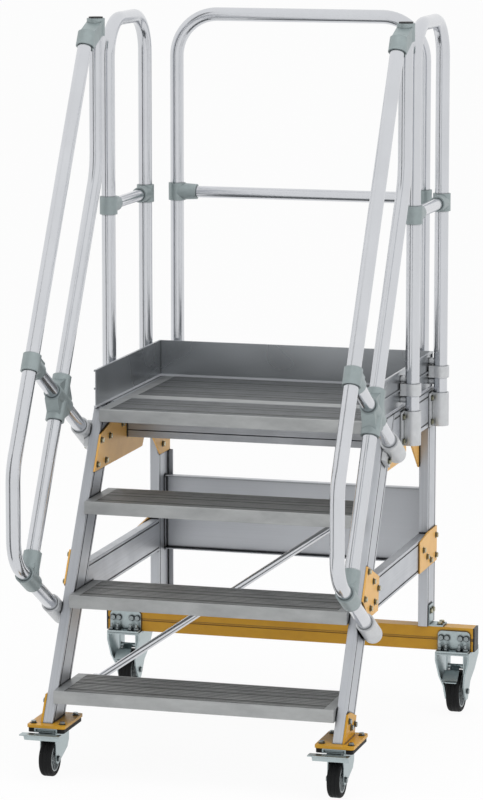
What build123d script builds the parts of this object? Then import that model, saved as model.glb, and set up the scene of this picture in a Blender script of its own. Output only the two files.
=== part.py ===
"""Mobile ladder stand: four steps up to a railed work platform on four castors.

Millimetres, +Z up, X across the stand, Y from the foot of the stairs to the back.
Pieces are drawn with Y = 0 at the platform's front edge and are moved once, when they
are written, so that the origin lies on the floor below the middle of the bounding box.
"""
from build123d import *
import math
import os

# ---------------------------------------------------------------- driving dimensions
# Stairs
STEP_COUNT = 4              # risers, the last one onto the platform
RISE = 240.0                # height of one step
STAIR_ANGLE = 60.0          # slope of the stringers, degrees
TREAD_DEPTH = 217.0         # front to back
TREAD_HEIGHT = 36.0         # height of the tread extrusion
TREAD_HALF_WIDTH = 398.0    # centre to the stringer's inner face
TREAD_WALL = 3.0
TREAD_END_STRIP = 28.0      # plain strip at each end of the ribbed surface
NOSE_PLAIN = 6.0            # plain edge in front of the first groove
RIB_PITCH = 16.0
RIB_GROOVE_WIDTH = 7.0
RIB_GROOVE_DEPTH = 1.4
NOSE_RADIUS = 4.0
NOSING_OVERHANG = 40.0      # tread's front edge ahead of the stringer, level with the tread

# Extruded side members: stringers, legs, side rails
PROFILE_THICKNESS = 28.0    # across the stand
PROFILE_DEPTH = 96.0
PROFILE_WALL = 3.0
PROFILE_SLOT_WIDTH = 5.0    # screw slots along each broad face
PROFILE_SLOT_DEPTH = 2.0
PROFILE_SLOT_SPACING = 77.0     # between the slots of a leg or a rail
STRINGER_SLOT_SPACING = 70.0

# Platform
PLATFORM_DEPTH = 662.0
PLANK_GAP = 3.0
REAR_PLANK_PLAIN = 54.0     # plain band at the front of the rear plank
SIDE_BEAM_HEIGHT = 105.0
LEDGE_WIDTH = 28.0
LEDGE_THICKNESS = 4.0
CROSS_BEAM_SETBACK = 21.0   # front face of the middle beam behind the front plank
CROSS_BEAM_THICKNESS = 40.0
CROSS_BEAM_HEIGHT = 82.0
CROSS_BEAM_GROOVE = 19.0    # groove's lower edge above the beam's bottom
CROSS_BEAM_GROOVE_WIDTH = 3.0
TOE_BOARD_HEIGHT = 108.0
TOE_BOARD_THICKNESS = 3.0
TOE_BOARD_HALF_WIDTH = 413.0    # centre to its inner face
TOE_BOARD_START = 20.0
TOE_BOARD_INSET = 24.0      # rear board's outer face from the platform's rear edge
TOE_RIB_DEPTH = 4.0
TOE_RIB_HEIGHT = 5.0

# Legs, lower frame and panel
LEG_FLANGE_WIDTH = 15.0     # inner flange along the leg's rear edge
LEG_FLANGE_THICKNESS = 6.0
SIDE_RAIL_BOTTOM = 442.0
SIDE_RAIL_HEIGHT = 96.0
PANEL_BOTTOM = 438.0
PANEL_HEIGHT = 225.0
PANEL_SHEET = 2.5
PANEL_FOLD = 22.0
PANEL_SETBACK = 24.0        # panel's rear face ahead of the leg's
BRACE_RADIUS = 10.0
BRACE_WALL = 2.0
BRACE_END_INSET = 48.0      # brace end from the stringer's inner face
BRACE_CLEARANCE = 1.5       # between the brace and the middle tread's rear edge
BRACE_LUG_WIDTH = 26.0

# Rear cross beam
BEAM_HALF_LENGTH = 562.0
BEAM_BOTTOM = 190.0
BEAM_HEIGHT = 70.0
BEAM_DEPTH = 50.0
BEAM_SETBACK = 8.0          # beam's front face behind the leg's
BEAM_WALL = 4.0
BEAM_GROOVE_WIDTH = 8.0
BEAM_GROOVE_DEPTH = 2.5
END_CAP_THICKNESS = 5.0
CAP_PLUG_DEPTH = 20.0
CAP_PLUG_CLEARANCE = 0.2

# Tube rails
RAIL_RADIUS = 20.0
RAIL_WALL = 2.0
RAIL_FIT = 0.1              # radial clearance of a tube in its fitting
FITTING_WALL = 5.5
RAIL_CENTRE_X = 450.0       # plane of the side rails
MID_RAIL_RADIUS = 17.0
MID_RAIL_HEIGHT = 1511.0
HOOP_FRONT = 255.0
HOOP_REAR_INSET = 55.0      # rear post from the platform's rear edge
HOOP_TOP = 2040.0           # centreline
HOOP_BEND = 110.0
REAR_RAIL_HALF_WIDTH = 376.0
REAR_RAIL_SETBACK = 25.0    # post centre behind the platform
REAR_RAIL_TOP = 2038.0
REAR_RAIL_BEND = 125.0
TEE_HEIGHT = 51.0
TEE_STUB = 62.0             # tee centre to the end of its stub

# Stair rails, measured in the plane of the stairs from the platform's front edge
HANDRAIL_OUT = 468.0        # square to the slope, in front of the nosings
KNEE_RAIL_OUT = 205.0
UPPER_TIE_DOWN = 50.0       # down the slope to the upper ties
LOWER_TIE_LEAD = 23.4       # lower tie up the slope from the side rail's lower edge
HANDRAIL_FRONT = 585.0      # upright run of the handrail, ahead of the platform
HANDRAIL_TOP_DOWN = -932.0  # upper end of the handrail, up the slope
HANDRAIL_BEND = 150.0
HANDRAIL_LOWER_BEND = 110.0
KNEE_POST_Y = 148.0
KNEE_POST_TOP = 2047.0
KNEE_BEND = 190.0
TIE_END_OUT = -66.0         # end of a tie tube, beside the stringer
SOCKET_LENGTH = 104.0
SOCKET_START_OUT = -8.0
SOCKET_FLANGE = 14.0
SOCKET_FLANGE_LENGTH = 78.0
SOCKET_FLANGE_WIDTH = 56.0
SOCKET_FLANGE_ABOVE = 30.0  # flange up the slope from the tie
SOCKET_FLANGE_OUT = 4.0     # flange's edge behind the stringer's front face
SOCKET_BOLT_INSET = 11.0    # bolt centre from the flange's lower end
SOCKET_BOLT_OUT = 38.0
TEE_CLAMP_LENGTH = 50.0
CROSS_CLAMP_LENGTH = 134.0
LOWER_CLAMP_LENGTH = 80.0   # across the knee rail's foot
LOWER_CLAMP_REACH = 75.0    # along the knee rail
CLAMP_STUB = 58.0
CLAMP_WEB = 38.0            # thickness of the webs between a clamp's sleeves
TOP_PLUG_HEIGHT = 4.0
JOINT_HEIGHT = 44.0         # top joint's sleeve on the knee rail's post
JOINT_CAP = 6.0             # casting above the post's end
JOINT_BACK = 26.0           # top joint's sleeve on the handrail
JOINT_NOSE = 16.0           # casting past the handrail's end
JOINT_WEB = 44.0            # thickness of the web between the two sleeves
JOINT_WEB_INSET = 4.0       # web's edges from the ends of the upright sleeve

# Post fittings on the platform's edge
BRACKET_HEIGHT = 98.0
BRACKET_BOTTOM = 856.0
POST_SEAT = 8.0             # floor of a post bracket, below the post's foot
BRACKET_HALF_WIDTH = 22.0
BRACKET_FLANGE = 6.0
BRACKET_BOLT_OFFSET = 34.0  # bolts in front of a side post
BRACKET_BOLT_INSET = 14.0   # bolt centres from the bracket's ends
SLEEVE_BOTTOM = 998.0
SLEEVE_HEIGHT = 34.0
SPACER_RADIUS = 10.0
SPACER_GAP = 2.0            # between a spacer and the sleeve

# Gussets and cleats
GUSSET_THICKNESS = 5.0
UPPER_GUSSET_DROP = 65.0    # below the side beam
UPPER_GUSSET_HEAD = 32.0    # top of the front edge above the side beam's bottom
UPPER_GUSSET_GAP = 26.0     # between the front and the rear gusset
UPPER_GUSSET_CORNER = (16.0, 22.0)      # cut off the front gusset's lower rear corner
UPPER_GUSSET_LAP = 65.0     # part that laps the side beam
REAR_GUSSET_REACH = 137.0   # rear gusset ahead of the leg
REAR_GUSSET_DROP = 120.0
LOWER_GUSSET_REACH = 118.0  # length of a lower rear gusset along the side rail
LOWER_GUSSET_FRONT_REACH = 78.0     # the same of a front gusset
LOWER_GUSSET_ABOVE = 50.0   # front gusset's top above the side rail
LOWER_GUSSET_BELOW = 2.0
LOWER_GUSSET_CORNER = 14.0
LOWER_GUSSET_TOP = 8.0      # rear gusset's top above the side rail
LOWER_GUSSET_END_DROP = 4.0     # its top at its front end, below the side rail's top
CLEAT_THICKNESS = 5.0
CLEAT_HEIGHT = 62.0
CLEAT_REACH = 46.0
CLEAT_BOLT_INSET = 12.0

# Front castors
FOOT_CENTRE_X = 409.0
FOOT_CENTRE_Y = -372.0      # swivel axis
FOOT_PLATE_WIDTH = 110.0
FOOT_PLATE_LENGTH = 164.0
FOOT_PLATE_THICKNESS = 8.0
FOOT_PLATE_TOP = 150.0
FOOT_CORNER = 9.0
FOOT_TAB_HEIGHT = 50.0
FOOT_TAB_PEAK = 22.0        # tab's front corner above its rear one
FOOT_TAB_THICKNESS = 6.0
PAD_THICKNESS = 13.0
PAD_INSET = 3.0
HEAD_WIDTH = 66.0
HEAD_FRONT_INSET = 1.0      # head's front face behind the foot plate's edge
HEAD_REAR = 44.0            # head's rear face behind the swivel axis
RACE_RADIUS = 30.0
RACE_GAP = 0.3              # between faces that turn past each other
KINGPIN_RADIUS = 6.0
KINGPIN_CLEARANCE = 0.08
KINGPIN_NUT_RADIUS = 11.0
KINGPIN_NUT_HEIGHT = 7.0
FRONT_WHEEL_RADIUS = 50.0
FRONT_WHEEL_WIDTH = 36.0
CASTOR_TRAIL = 46.0
FORK_SHEET = 3.0
FORK_SIDE_GAP = 2.4
FORK_FRONT_EDGE = 15.0      # fork plate ahead of the axle
FORK_REAR_EDGE = 50.0       # fork plate behind the swivel axis
FORK_TOP_GAP = 3.0          # fork's top below the pad

# Rear castors
REAR_WHEEL_RADIUS = 62.5
REAR_WHEEL_WIDTH = 40.0
REAR_CASTOR_INSET = 56.0    # castor centre from the beam's end
REAR_CASTOR_SETBACK = 12.0  # castor centre behind the beam's centre
HOUSING_WIDTH = 102.0
HOUSING_DEPTH = 132.0
HOUSING_SHEET = 5.0
HOUSING_TOP_THICKNESS = 8.0
HOUSING_BEND_HEIGHT = 165.0     # sides draw in from here
HOUSING_NARROW_HEIGHT = 84.0    # to here
HOUSING_SHOULDER = 118.0    # side plates' edges slope in below this
HOUSING_FOOT = 37.0         # lower end of the side plates
HOUSING_FOOT_DEPTH = 44.0
REAR_FORK_SHEET = 4.0
REAR_FORK_DEPTH = 40.0
REAR_FORK_SIDE_GAP = 3.0
ANGLE_WIDTH = 96.0
ANGLE_INSET = 10.0          # angle's top below the beam's
ANGLE_BOLT_HEIGHT = 40.0    # bolts through its wall
ANGLE_REACH = 36.0
ANGLE_SHEET = 5.0
ANGLE_CORNER = 12.0
ANGLE_BOLT_SPREAD = (-38.0, -20.0, 20.0, 38.0)

# Wheels, axles and brakes
TYRE_THICKNESS = 14.0
TYRE_ROUNDING = 6.0
HUB_RIM_WIDTH_SHARE = 0.86
HUB_WEB_THICKNESS = 10.0
HUB_BOSS_RADIUS = 13.0
AXLE_RADIUS = 5.0
AXLE_CLEARANCE = 0.06
AXLE_HEAD_RADIUS = 8.0
AXLE_HEAD_THICKNESS = 6.0
PEDAL_PIN_RADIUS = 4.0
PEDAL_PIN_CLEARANCE = 0.08
PEDAL_HUB_RADIUS = 7.0
PEDAL_SHEET = 3.0
PEDAL_NECK = 21.0           # from the pin to the near edge of the plate
PEDAL_LENGTH = 28.0
PEDAL_LIP = 12.0
PEDAL_SKIRT = 16.0          # height of the front pedal's sloping skirt
PEDAL_SKIRT_LEAN = 9.0      # its lower edge behind its upper one
PEDAL_TAB_INSET = 12.0      # lip's left end from the plate's left edge
SHOE_WIDTH = 26.0
SHOE_HALF_DEPTH = 4.0
SHOE_REACH = 17.0           # from the pin down to the shoe's face
FRONT_PEDAL_LEFT = 66.0     # pedal plate to the left of the wheel's centre
FRONT_PEDAL_RIGHT = 48.0
FRONT_PEDAL_AHEAD = 18.0    # pin ahead of the axle
FRONT_PEDAL_ABOVE = 21.0    # pin above the tyre
REAR_PEDAL_LEFT = 30.0
REAR_PEDAL_RIGHT = 16.0
REAR_PEDAL_AHEAD = 12.0
REAR_PEDAL_ABOVE = 14.0
REAR_PEDAL_TYRE_GAP = 9.0   # between the sloping plate and the tyre
REAR_PEDAL_UPPER = 62.0     # angle of the plate's upper end round the axle, from level
REAR_PEDAL_LOWER = 30.0

# Fasteners
BOLT_RADIUS = 4.0
BOLT_HOLE_CLEARANCE = 0.25
BOLT_HEAD_RADIUS = 7.5      # across corners, half
BOLT_HEAD_HEIGHT = 5.5
WASHER_RADIUS = 9.0
WASHER_THICKNESS = 1.6
STUD_LENGTH = 12.0          # thread that stands out past a nut

# ---------------------------------------------------------------- worked-out dimensions
PLATFORM_HEIGHT = STEP_COUNT * RISE
GOING = RISE / math.tan(math.radians(STAIR_ANGLE))
SIN = math.sin(math.radians(STAIR_ANGLE))
COS = math.cos(math.radians(STAIR_ANGLE))
INNER_X = TREAD_HALF_WIDTH                      # inner face of the side members
OUTER_X = INNER_X + PROFILE_THICKNESS
MEMBER_X = (INNER_X + OUTER_X) / 2
STRINGER_FRONT_OUT = -NOSING_OVERHANG * SIN     # stringer's front face, square to the slope
STRINGER_REAR_OUT = STRINGER_FRONT_OUT - PROFILE_DEPTH
SIDE_BEAM_BOTTOM = PLATFORM_HEIGHT - SIDE_BEAM_HEIGHT
LEDGE_TOP = PLATFORM_HEIGHT - TREAD_HEIGHT
LEDGE_BOTTOM = LEDGE_TOP - LEDGE_THICKNESS
CROSS_BEAM_FRONT = TREAD_DEPTH + CROSS_BEAM_SETBACK
TOE_BOARD_REAR = PLATFORM_DEPTH - TOE_BOARD_INSET
LEG_FRONT = PLATFORM_DEPTH - PROFILE_DEPTH
LEG_REAR = PLATFORM_DEPTH
HOOP_REAR = PLATFORM_DEPTH - HOOP_REAR_INSET
POST_FOOT = BRACKET_BOTTOM + POST_SEAT
LOWER_TIE_DOWN = (PLATFORM_HEIGHT - SIDE_RAIL_BOTTOM + LOWER_GUSSET_BELOW) / SIN - LOWER_TIE_LEAD
REAR_GUSSET_FRONT = LEG_FRONT - REAR_GUSSET_REACH
UPPER_GUSSET_REAR = REAR_GUSSET_FRONT - UPPER_GUSSET_GAP
REAR_CASTOR_X = BEAM_HALF_LENGTH - REAR_CASTOR_INSET
BEAM_TOP = BEAM_BOTTOM + BEAM_HEIGHT
BEAM_FRONT = LEG_FRONT + BEAM_SETBACK
BEAM_REAR = BEAM_FRONT + BEAM_DEPTH
BEAM_CENTRE_Y = (BEAM_FRONT + BEAM_REAR) / 2
REAR_POST_Y = PLATFORM_DEPTH + REAR_RAIL_SETBACK
FITTING_RADIUS = RAIL_RADIUS + FITTING_WALL
BORE_RADIUS = RAIL_RADIUS + RAIL_FIT
MID_BORE_RADIUS = MID_RAIL_RADIUS + RAIL_FIT
TOE_OUTER_X = TOE_BOARD_HALF_WIDTH + TOE_BOARD_THICKNESS
TOE_TOP = PLATFORM_HEIGHT + TOE_BOARD_HEIGHT
REAR_CASTOR_Y = BEAM_CENTRE_Y + REAR_CASTOR_SETBACK
PAD_TOP = FOOT_PLATE_TOP - FOOT_PLATE_THICKNESS
PAD_BOTTOM = PAD_TOP - PAD_THICKNESS
FORK_TOP = PAD_BOTTOM - FORK_TOP_GAP
FRONT_AXLE_Y = FOOT_CENTRE_Y - CASTOR_TRAIL
FORK_INNER = FRONT_WHEEL_WIDTH / 2 + FORK_SIDE_GAP
FORK_OUTER = FORK_INNER + FORK_SHEET
REAR_FORK_INNER = REAR_WHEEL_WIDTH / 2 + REAR_FORK_SIDE_GAP
REAR_FORK_OUTER = REAR_FORK_INNER + REAR_FORK_SHEET
HOUSING_TOP = BEAM_BOTTOM
HOUSING_UNDERSIDE = HOUSING_TOP - HOUSING_TOP_THICKNESS
HOLE_RADIUS = BOLT_RADIUS + BOLT_HOLE_CLEARANCE
FRONT_PEDAL_PIN = (FRONT_AXLE_Y - FRONT_PEDAL_AHEAD, FRONT_WHEEL_RADIUS * 2 + FRONT_PEDAL_ABOVE)
REAR_PEDAL_PIN = (REAR_CASTOR_Y - REAR_PEDAL_AHEAD, REAR_WHEEL_RADIUS * 2 + REAR_PEDAL_ABOVE)
MODEL_FRONT_Y = -HANDRAIL_FRONT - RAIL_RADIUS
MODEL_REAR_Y = REAR_POST_Y + FITTING_RADIUS
CENTRE_SHIFT = -(MODEL_FRONT_Y + MODEL_REAR_Y) / 2
LONG = 4000.0               # longer than any piece, for cutting tools

RIGHT, LEFT = 1, -1


# ---------------------------------------------------------------- helpers
def span(x0, x1, y0, y1, z0, z1):
    """Box between two corners."""
    size = (x1 - x0, y1 - y0, z1 - z0)
    return Pos((x0 + x1) / 2, (y0 + y1) / 2, (z0 + z1) / 2) * Box(*size)


def rod(start, end, radius):
    """Solid cylinder from one point to another."""
    start, end = Vector(*start), Vector(*end)
    axis = end - start
    bottom = (Align.CENTER, Align.CENTER, Align.MIN)
    return Plane(origin=start, z_dir=axis) * Cylinder(radius, axis.length, align=bottom)


def domed_rod(start, end, radius):
    """Solid cylinder that ends past the second point in a half ball."""
    start, end = Vector(*start), Vector(*end)
    length = (end - start).length
    middle = radius * math.sqrt(0.5)
    outline = Polyline((0, length + radius), (0, 0), (radius, 0), (radius, length))
    outline += ThreePointArc((radius, length), (middle, length + middle), (0, length + radius))
    turned = revolve(Plane.XZ * make_face(outline), Axis.Z)
    return Plane(origin=start, z_dir=end - start) * turned


def on_side(shape, side):
    """The right-hand shape, or its mirror image on the left."""
    return shape if side == RIGHT else mirror(shape, about=Plane.YZ)


def both_sides(shape):
    return [shape, mirror(shape, about=Plane.YZ)]


def plate_yz(points, x0, x1):
    """Flat plate with an outline of (y, z) points, between two X values."""
    face = make_face(Polyline(*[(x0, y, z) for y, z in points], close=True))
    return extrude(face, amount=x1 - x0, dir=(1, 0, 0))


def bent_tube(points, bends, radius, wall):
    """Round tube along straight runs joined by arcs."""
    path = FilletPolyline(*points, radius=bends) if bends else Line(*points)
    section = Plane(origin=path @ 0, z_dir=path % 0) * (Circle(radius) - Circle(radius - wall))
    return sweep(section, path=path)


def stair_point(down, out, x=0.0):
    """Point in the stair's own directions: down the slope, and out square to it."""
    return (x, -COS * down - SIN * out, PLATFORM_HEIGHT - SIN * down + COS * out)


def stair_plane(x, down, out):
    """Plane across the slope: local X across the stand, local Y into the stair."""
    return Plane(origin=stair_point(down, out, x), x_dir=(1, 0, 0), z_dir=(0, COS, SIN))


def profile(thickness, depth, spacing=PROFILE_SLOT_SPACING):
    """Hollow extrusion section with two slots along both broad faces."""
    outer = Pos(0, depth / 2) * RectangleRounded(thickness, depth, 1.5)
    hollow = Rectangle(thickness - 2 * PROFILE_WALL, depth - 2 * PROFILE_WALL)
    section = outer - Pos(0, depth / 2) * hollow
    for side in (RIGHT, LEFT):
        for centre in ((depth - spacing) / 2, (depth + spacing) / 2):
            slot = Rectangle(2 * PROFILE_SLOT_DEPTH, PROFILE_SLOT_WIDTH)
            section -= Pos(side * thickness / 2, centre) * slot
    return section


def bolt(point, direction, grip, stud=0.0):
    """Hexagon bolt: washer and head on the face at point, shank back through the grip."""
    point, direction = Vector(*point), Vector(*direction)
    seat = Plane(origin=point, z_dir=direction)
    bottom = (Align.CENTER, Align.CENTER, Align.MIN)
    top = (Align.CENTER, Align.CENTER, Align.MAX)
    head = extrude(Pos(0, 0, WASHER_THICKNESS) * RegularPolygon(BOLT_HEAD_RADIUS, 6), BOLT_HEAD_HEIGHT)
    body = Cylinder(WASHER_RADIUS, WASHER_THICKNESS, align=bottom) + head
    body += Cylinder(BOLT_RADIUS, grip, align=top)
    if stud:
        reach = WASHER_THICKNESS + BOLT_HEAD_HEIGHT + stud
        body += Cylinder(BOLT_RADIUS, reach, align=bottom)
    return seat * body


def drilled(shape, holes, depth):
    """Shape with a bolt hole at each (point, direction)."""
    for point, direction in holes:
        point, direction = Vector(*point), Vector(*direction).normalized()
        shape -= rod(point + direction, point - direction * depth, HOLE_RADIUS)
    return shape


def bolts(holes, grip, stud=0.0):
    return [bolt(point, direction, grip, stud) for point, direction in holes]


# ---------------------------------------------------------------- stairs and platform
def stringer():
    """Right stringer: sloping extrusion, cut level at the foot plate and the platform."""
    plane = stair_plane(MEMBER_X, LONG / 2, STRINGER_FRONT_OUT)
    section = profile(PROFILE_THICKNESS, PROFILE_DEPTH, STRINGER_SLOT_SPACING)
    bar = extrude(plane * section, LONG)
    room = span(INNER_X - 5, OUTER_X + 5, -LONG, LONG, FOOT_PLATE_TOP, PLATFORM_HEIGHT)
    return bar & room


def behind_stringer(shape):
    """The part of a side member that lies behind the stringer's rear face."""
    plane = stair_plane(MEMBER_X, LONG / 2, STRINGER_REAR_OUT)
    cutter = plane * Rectangle(4 * PROFILE_THICKNESS, LONG, align=(Align.CENTER, Align.MAX))
    return shape - extrude(cutter, LONG)


def ribbed_plank(front, depth, top, plain_front):
    """Hollow plank with lengthwise grooves in its top, between plain end strips."""
    outer = Rectangle(depth, TREAD_HEIGHT, align=(Align.MIN, Align.MAX))
    corners = outer.vertices().group_by(Axis.X)[0].sort_by(Axis.Y)
    outer = fillet(corners[-1], NOSE_RADIUS)
    cells = max(1, round(depth / 75))
    cell_width = (depth - TREAD_WALL) / cells
    for index in range(cells):
        cell = Rectangle(
            cell_width - TREAD_WALL, TREAD_HEIGHT - 2 * TREAD_WALL, align=(Align.MIN, Align.MAX)
        )
        outer -= Pos(TREAD_WALL + index * cell_width, -TREAD_WALL) * cell
    section = Plane(origin=(-TREAD_HALF_WIDTH, front, top), x_dir=(0, 1, 0), z_dir=(1, 0, 0))
    plank = extrude(section * outer, 2 * TREAD_HALF_WIDTH)
    ribbed = TREAD_HALF_WIDTH - TREAD_END_STRIP
    count = int((depth - plain_front - NOSE_PLAIN - RIB_GROOVE_WIDTH) / RIB_PITCH) + 1
    for index in range(count):
        start = front + plain_front + index * RIB_PITCH
        end = start + RIB_GROOVE_WIDTH
        plank -= span(-ribbed, ribbed, start, end, top - RIB_GROOVE_DEPTH, top + 1)
    return plank


def tread(number):
    """Tread, counted up from the floor."""
    top = number * RISE
    front = -(STEP_COUNT - number) * GOING
    return ribbed_plank(front, TREAD_DEPTH, top, NOSE_PLAIN)


def front_plank():
    return ribbed_plank(0.0, TREAD_DEPTH, PLATFORM_HEIGHT, NOSE_PLAIN)


def rear_plank():
    front = TREAD_DEPTH + PLANK_GAP
    return ribbed_plank(front, PLATFORM_DEPTH - front, PLATFORM_HEIGHT, REAR_PLANK_PLAIN)


def side_beam():
    """Right edge beam of the platform, mitred to the stringer, with a ledge for the planks."""
    plane = Plane(origin=(MEMBER_X, 0, SIDE_BEAM_BOTTOM), x_dir=(1, 0, 0), z_dir=(0, 1, 0))
    section = mirror(profile(PROFILE_THICKNESS, SIDE_BEAM_HEIGHT), about=Plane.XZ)
    beam = extrude(plane * section, PLATFORM_DEPTH)
    ledge_front = TREAD_DEPTH - LEDGE_WIDTH
    ledge = span(
        INNER_X - LEDGE_WIDTH, INNER_X + 1, ledge_front, PLATFORM_DEPTH, LEDGE_BOTTOM, LEDGE_TOP
    )
    return behind_stringer(beam) + ledge


def hollow_beam(half_length, front, rear, bottom, top, wall):
    """Box beam across the stand, open at its ends."""
    beam = span(-half_length, half_length, front, rear, bottom, top)
    return beam - span(-LONG, LONG, front + wall, rear - wall, bottom + wall, top - wall)


def platform_cross_beams():
    """Beams below the plank joint and the rear edge, between the upper gussets."""
    half = INNER_X - GUSSET_THICKNESS
    beams = []
    for front in (CROSS_BEAM_FRONT, PLATFORM_DEPTH - CROSS_BEAM_THICKNESS):
        rear = front + CROSS_BEAM_THICKNESS
        bottom = LEDGE_TOP - CROSS_BEAM_HEIGHT
        beam = hollow_beam(half, front, rear, bottom, LEDGE_TOP, PROFILE_WALL)
        low = bottom + CROSS_BEAM_GROOVE
        high = low + CROSS_BEAM_GROOVE_WIDTH
        beam -= span(-LONG, LONG, front - 1, front + PROFILE_SLOT_DEPTH, low, high)
        for side in (RIGHT, LEFT):
            notch = span(half - LEDGE_WIDTH, LONG, -LONG, LONG, LEDGE_BOTTOM, LONG)
            beam -= on_side(notch, side)
        beams.append(beam)
    return beams


def toe_ribs():
    """Heights of the three ribs along a toe board, as (bottom, top)."""
    middle = (PLATFORM_HEIGHT + TOE_TOP) / 2
    return [
        (PLATFORM_HEIGHT, PLATFORM_HEIGHT + TOE_RIB_HEIGHT),
        (middle - TOE_RIB_HEIGHT / 2, middle + TOE_RIB_HEIGHT / 2),
        (TOE_TOP - TOE_RIB_HEIGHT, TOE_TOP),
    ]


def side_toe_board():
    """Right toe board: sheet on the side beam, with three ribs outside."""
    inner, outer = TOE_BOARD_HALF_WIDTH, TOE_OUTER_X
    rear = TOE_BOARD_REAR - TOE_BOARD_THICKNESS
    board = span(inner, outer, TOE_BOARD_START, rear, PLATFORM_HEIGHT, TOE_TOP)
    for bottom, top in toe_ribs():
        rib_outer = outer + TOE_RIB_DEPTH
        board += span(outer - 1, rib_outer, TOE_BOARD_START, rear, bottom, top)
    return board


def rear_toe_board():
    """Rear toe board, lapped behind the side boards."""
    half = TOE_OUTER_X + TOE_RIB_DEPTH
    inner, outer = TOE_BOARD_REAR - TOE_BOARD_THICKNESS, TOE_BOARD_REAR
    board = span(-half, half, inner, outer, PLATFORM_HEIGHT, TOE_TOP)
    for bottom, top in toe_ribs():
        board += span(-half, half, outer - 1, outer + TOE_RIB_DEPTH, bottom, top)
    return board


# ---------------------------------------------------------------- legs and lower frame
def rear_leg():
    """Right rear leg, on the rear beam, with an inner flange below the upper gusset."""
    plane = Plane(origin=(MEMBER_X, LEG_FRONT, BEAM_TOP), x_dir=(1, 0, 0), z_dir=(0, 0, 1))
    leg = extrude(plane * profile(PROFILE_THICKNESS, PROFILE_DEPTH), SIDE_BEAM_BOTTOM - BEAM_TOP)
    return leg + span(
        INNER_X - LEG_FLANGE_WIDTH, INNER_X + 1, LEG_REAR - LEG_FLANGE_THICKNESS, LEG_REAR,
        BEAM_TOP, SIDE_BEAM_BOTTOM - REAR_GUSSET_DROP,
    )


def side_rail():
    """Right lower rail from the stringer to the rear leg."""
    start = slope_y(SIDE_RAIL_BOTTOM, STRINGER_FRONT_OUT)
    plane = Plane(origin=(MEMBER_X, start, SIDE_RAIL_BOTTOM), x_dir=(1, 0, 0), z_dir=(0, 1, 0))
    section = mirror(profile(PROFILE_THICKNESS, SIDE_RAIL_HEIGHT), about=Plane.XZ)
    bar = extrude(plane * section, LEG_FRONT - start)
    return behind_stringer(bar)


def rear_panel():
    """Sheet panel between the legs, folded forward along all four edges."""
    half = INNER_X
    front = LEG_REAR - PANEL_SETBACK - PANEL_FOLD
    top = PANEL_BOTTOM + PANEL_HEIGHT
    panel = span(-half, half, front, front + PANEL_FOLD, PANEL_BOTTOM, top)
    inner = half - PANEL_SHEET
    return panel - span(
        -inner, inner, front - 1, front + PANEL_FOLD - PANEL_SHEET,
        PANEL_BOTTOM + PANEL_SHEET, top - PANEL_SHEET,
    )


def diagonal_brace():
    """Tube behind the treads from the lowest tread to the third, with a lug at each end."""
    offset = TREAD_HEIGHT / 2 / math.tan(math.radians(STAIR_ANGLE)) + BRACE_RADIUS + BRACE_CLEARANCE
    end_x = INNER_X - BRACE_END_INSET
    ends = []
    for number, x in ((1, -end_x), (STEP_COUNT - 1, end_x)):
        rear = TREAD_DEPTH - (STEP_COUNT - number) * GOING
        ends.append((x, rear + offset, number * RISE - TREAD_HEIGHT / 2))
    tube = rod(ends[0], ends[1], BRACE_RADIUS) - rod(ends[0], ends[1], BRACE_RADIUS - BRACE_WALL)
    for x, y, z in ends:
        half = BRACE_LUG_WIDTH / 2
        tube += span(x - half, x + half, y - offset, y + BRACE_RADIUS, z - half, z + half)
    return tube


def rear_beam():
    """Wide beam that carries the legs and the rear castors, with a groove along its front."""
    beam = hollow_beam(BEAM_HALF_LENGTH, BEAM_FRONT, BEAM_REAR, BEAM_BOTTOM, BEAM_TOP, BEAM_WALL)
    middle = (BEAM_BOTTOM + BEAM_TOP) / 2
    half = BEAM_GROOVE_WIDTH / 2
    for front, rear in (
        (BEAM_FRONT - 1, BEAM_FRONT + BEAM_GROOVE_DEPTH), (BEAM_REAR - BEAM_GROOVE_DEPTH, BEAM_REAR + 1)
    ):
        beam -= span(-LONG, LONG, front, rear, middle - half, middle + half)
    return beam


def beam_end_cap():
    """Plug with a flat flange for the right end of the rear beam."""
    flange = span(
        BEAM_HALF_LENGTH, BEAM_HALF_LENGTH + END_CAP_THICKNESS, BEAM_FRONT, BEAM_REAR, BEAM_BOTTOM, BEAM_TOP
    )
    inset = BEAM_WALL + CAP_PLUG_CLEARANCE
    plug = span(
        BEAM_HALF_LENGTH - CAP_PLUG_DEPTH, BEAM_HALF_LENGTH, BEAM_FRONT + inset, BEAM_REAR - inset,
        BEAM_BOTTOM + inset, BEAM_TOP - inset,
    )
    return flange + plug


# ---------------------------------------------------------------- gussets and cleats
def slope_y(z, out):
    """Y of the line parallel to the stairs, at a height."""
    return (z - PLATFORM_HEIGHT - COS * out) / math.tan(math.radians(STAIR_ANGLE)) - SIN * out


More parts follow.
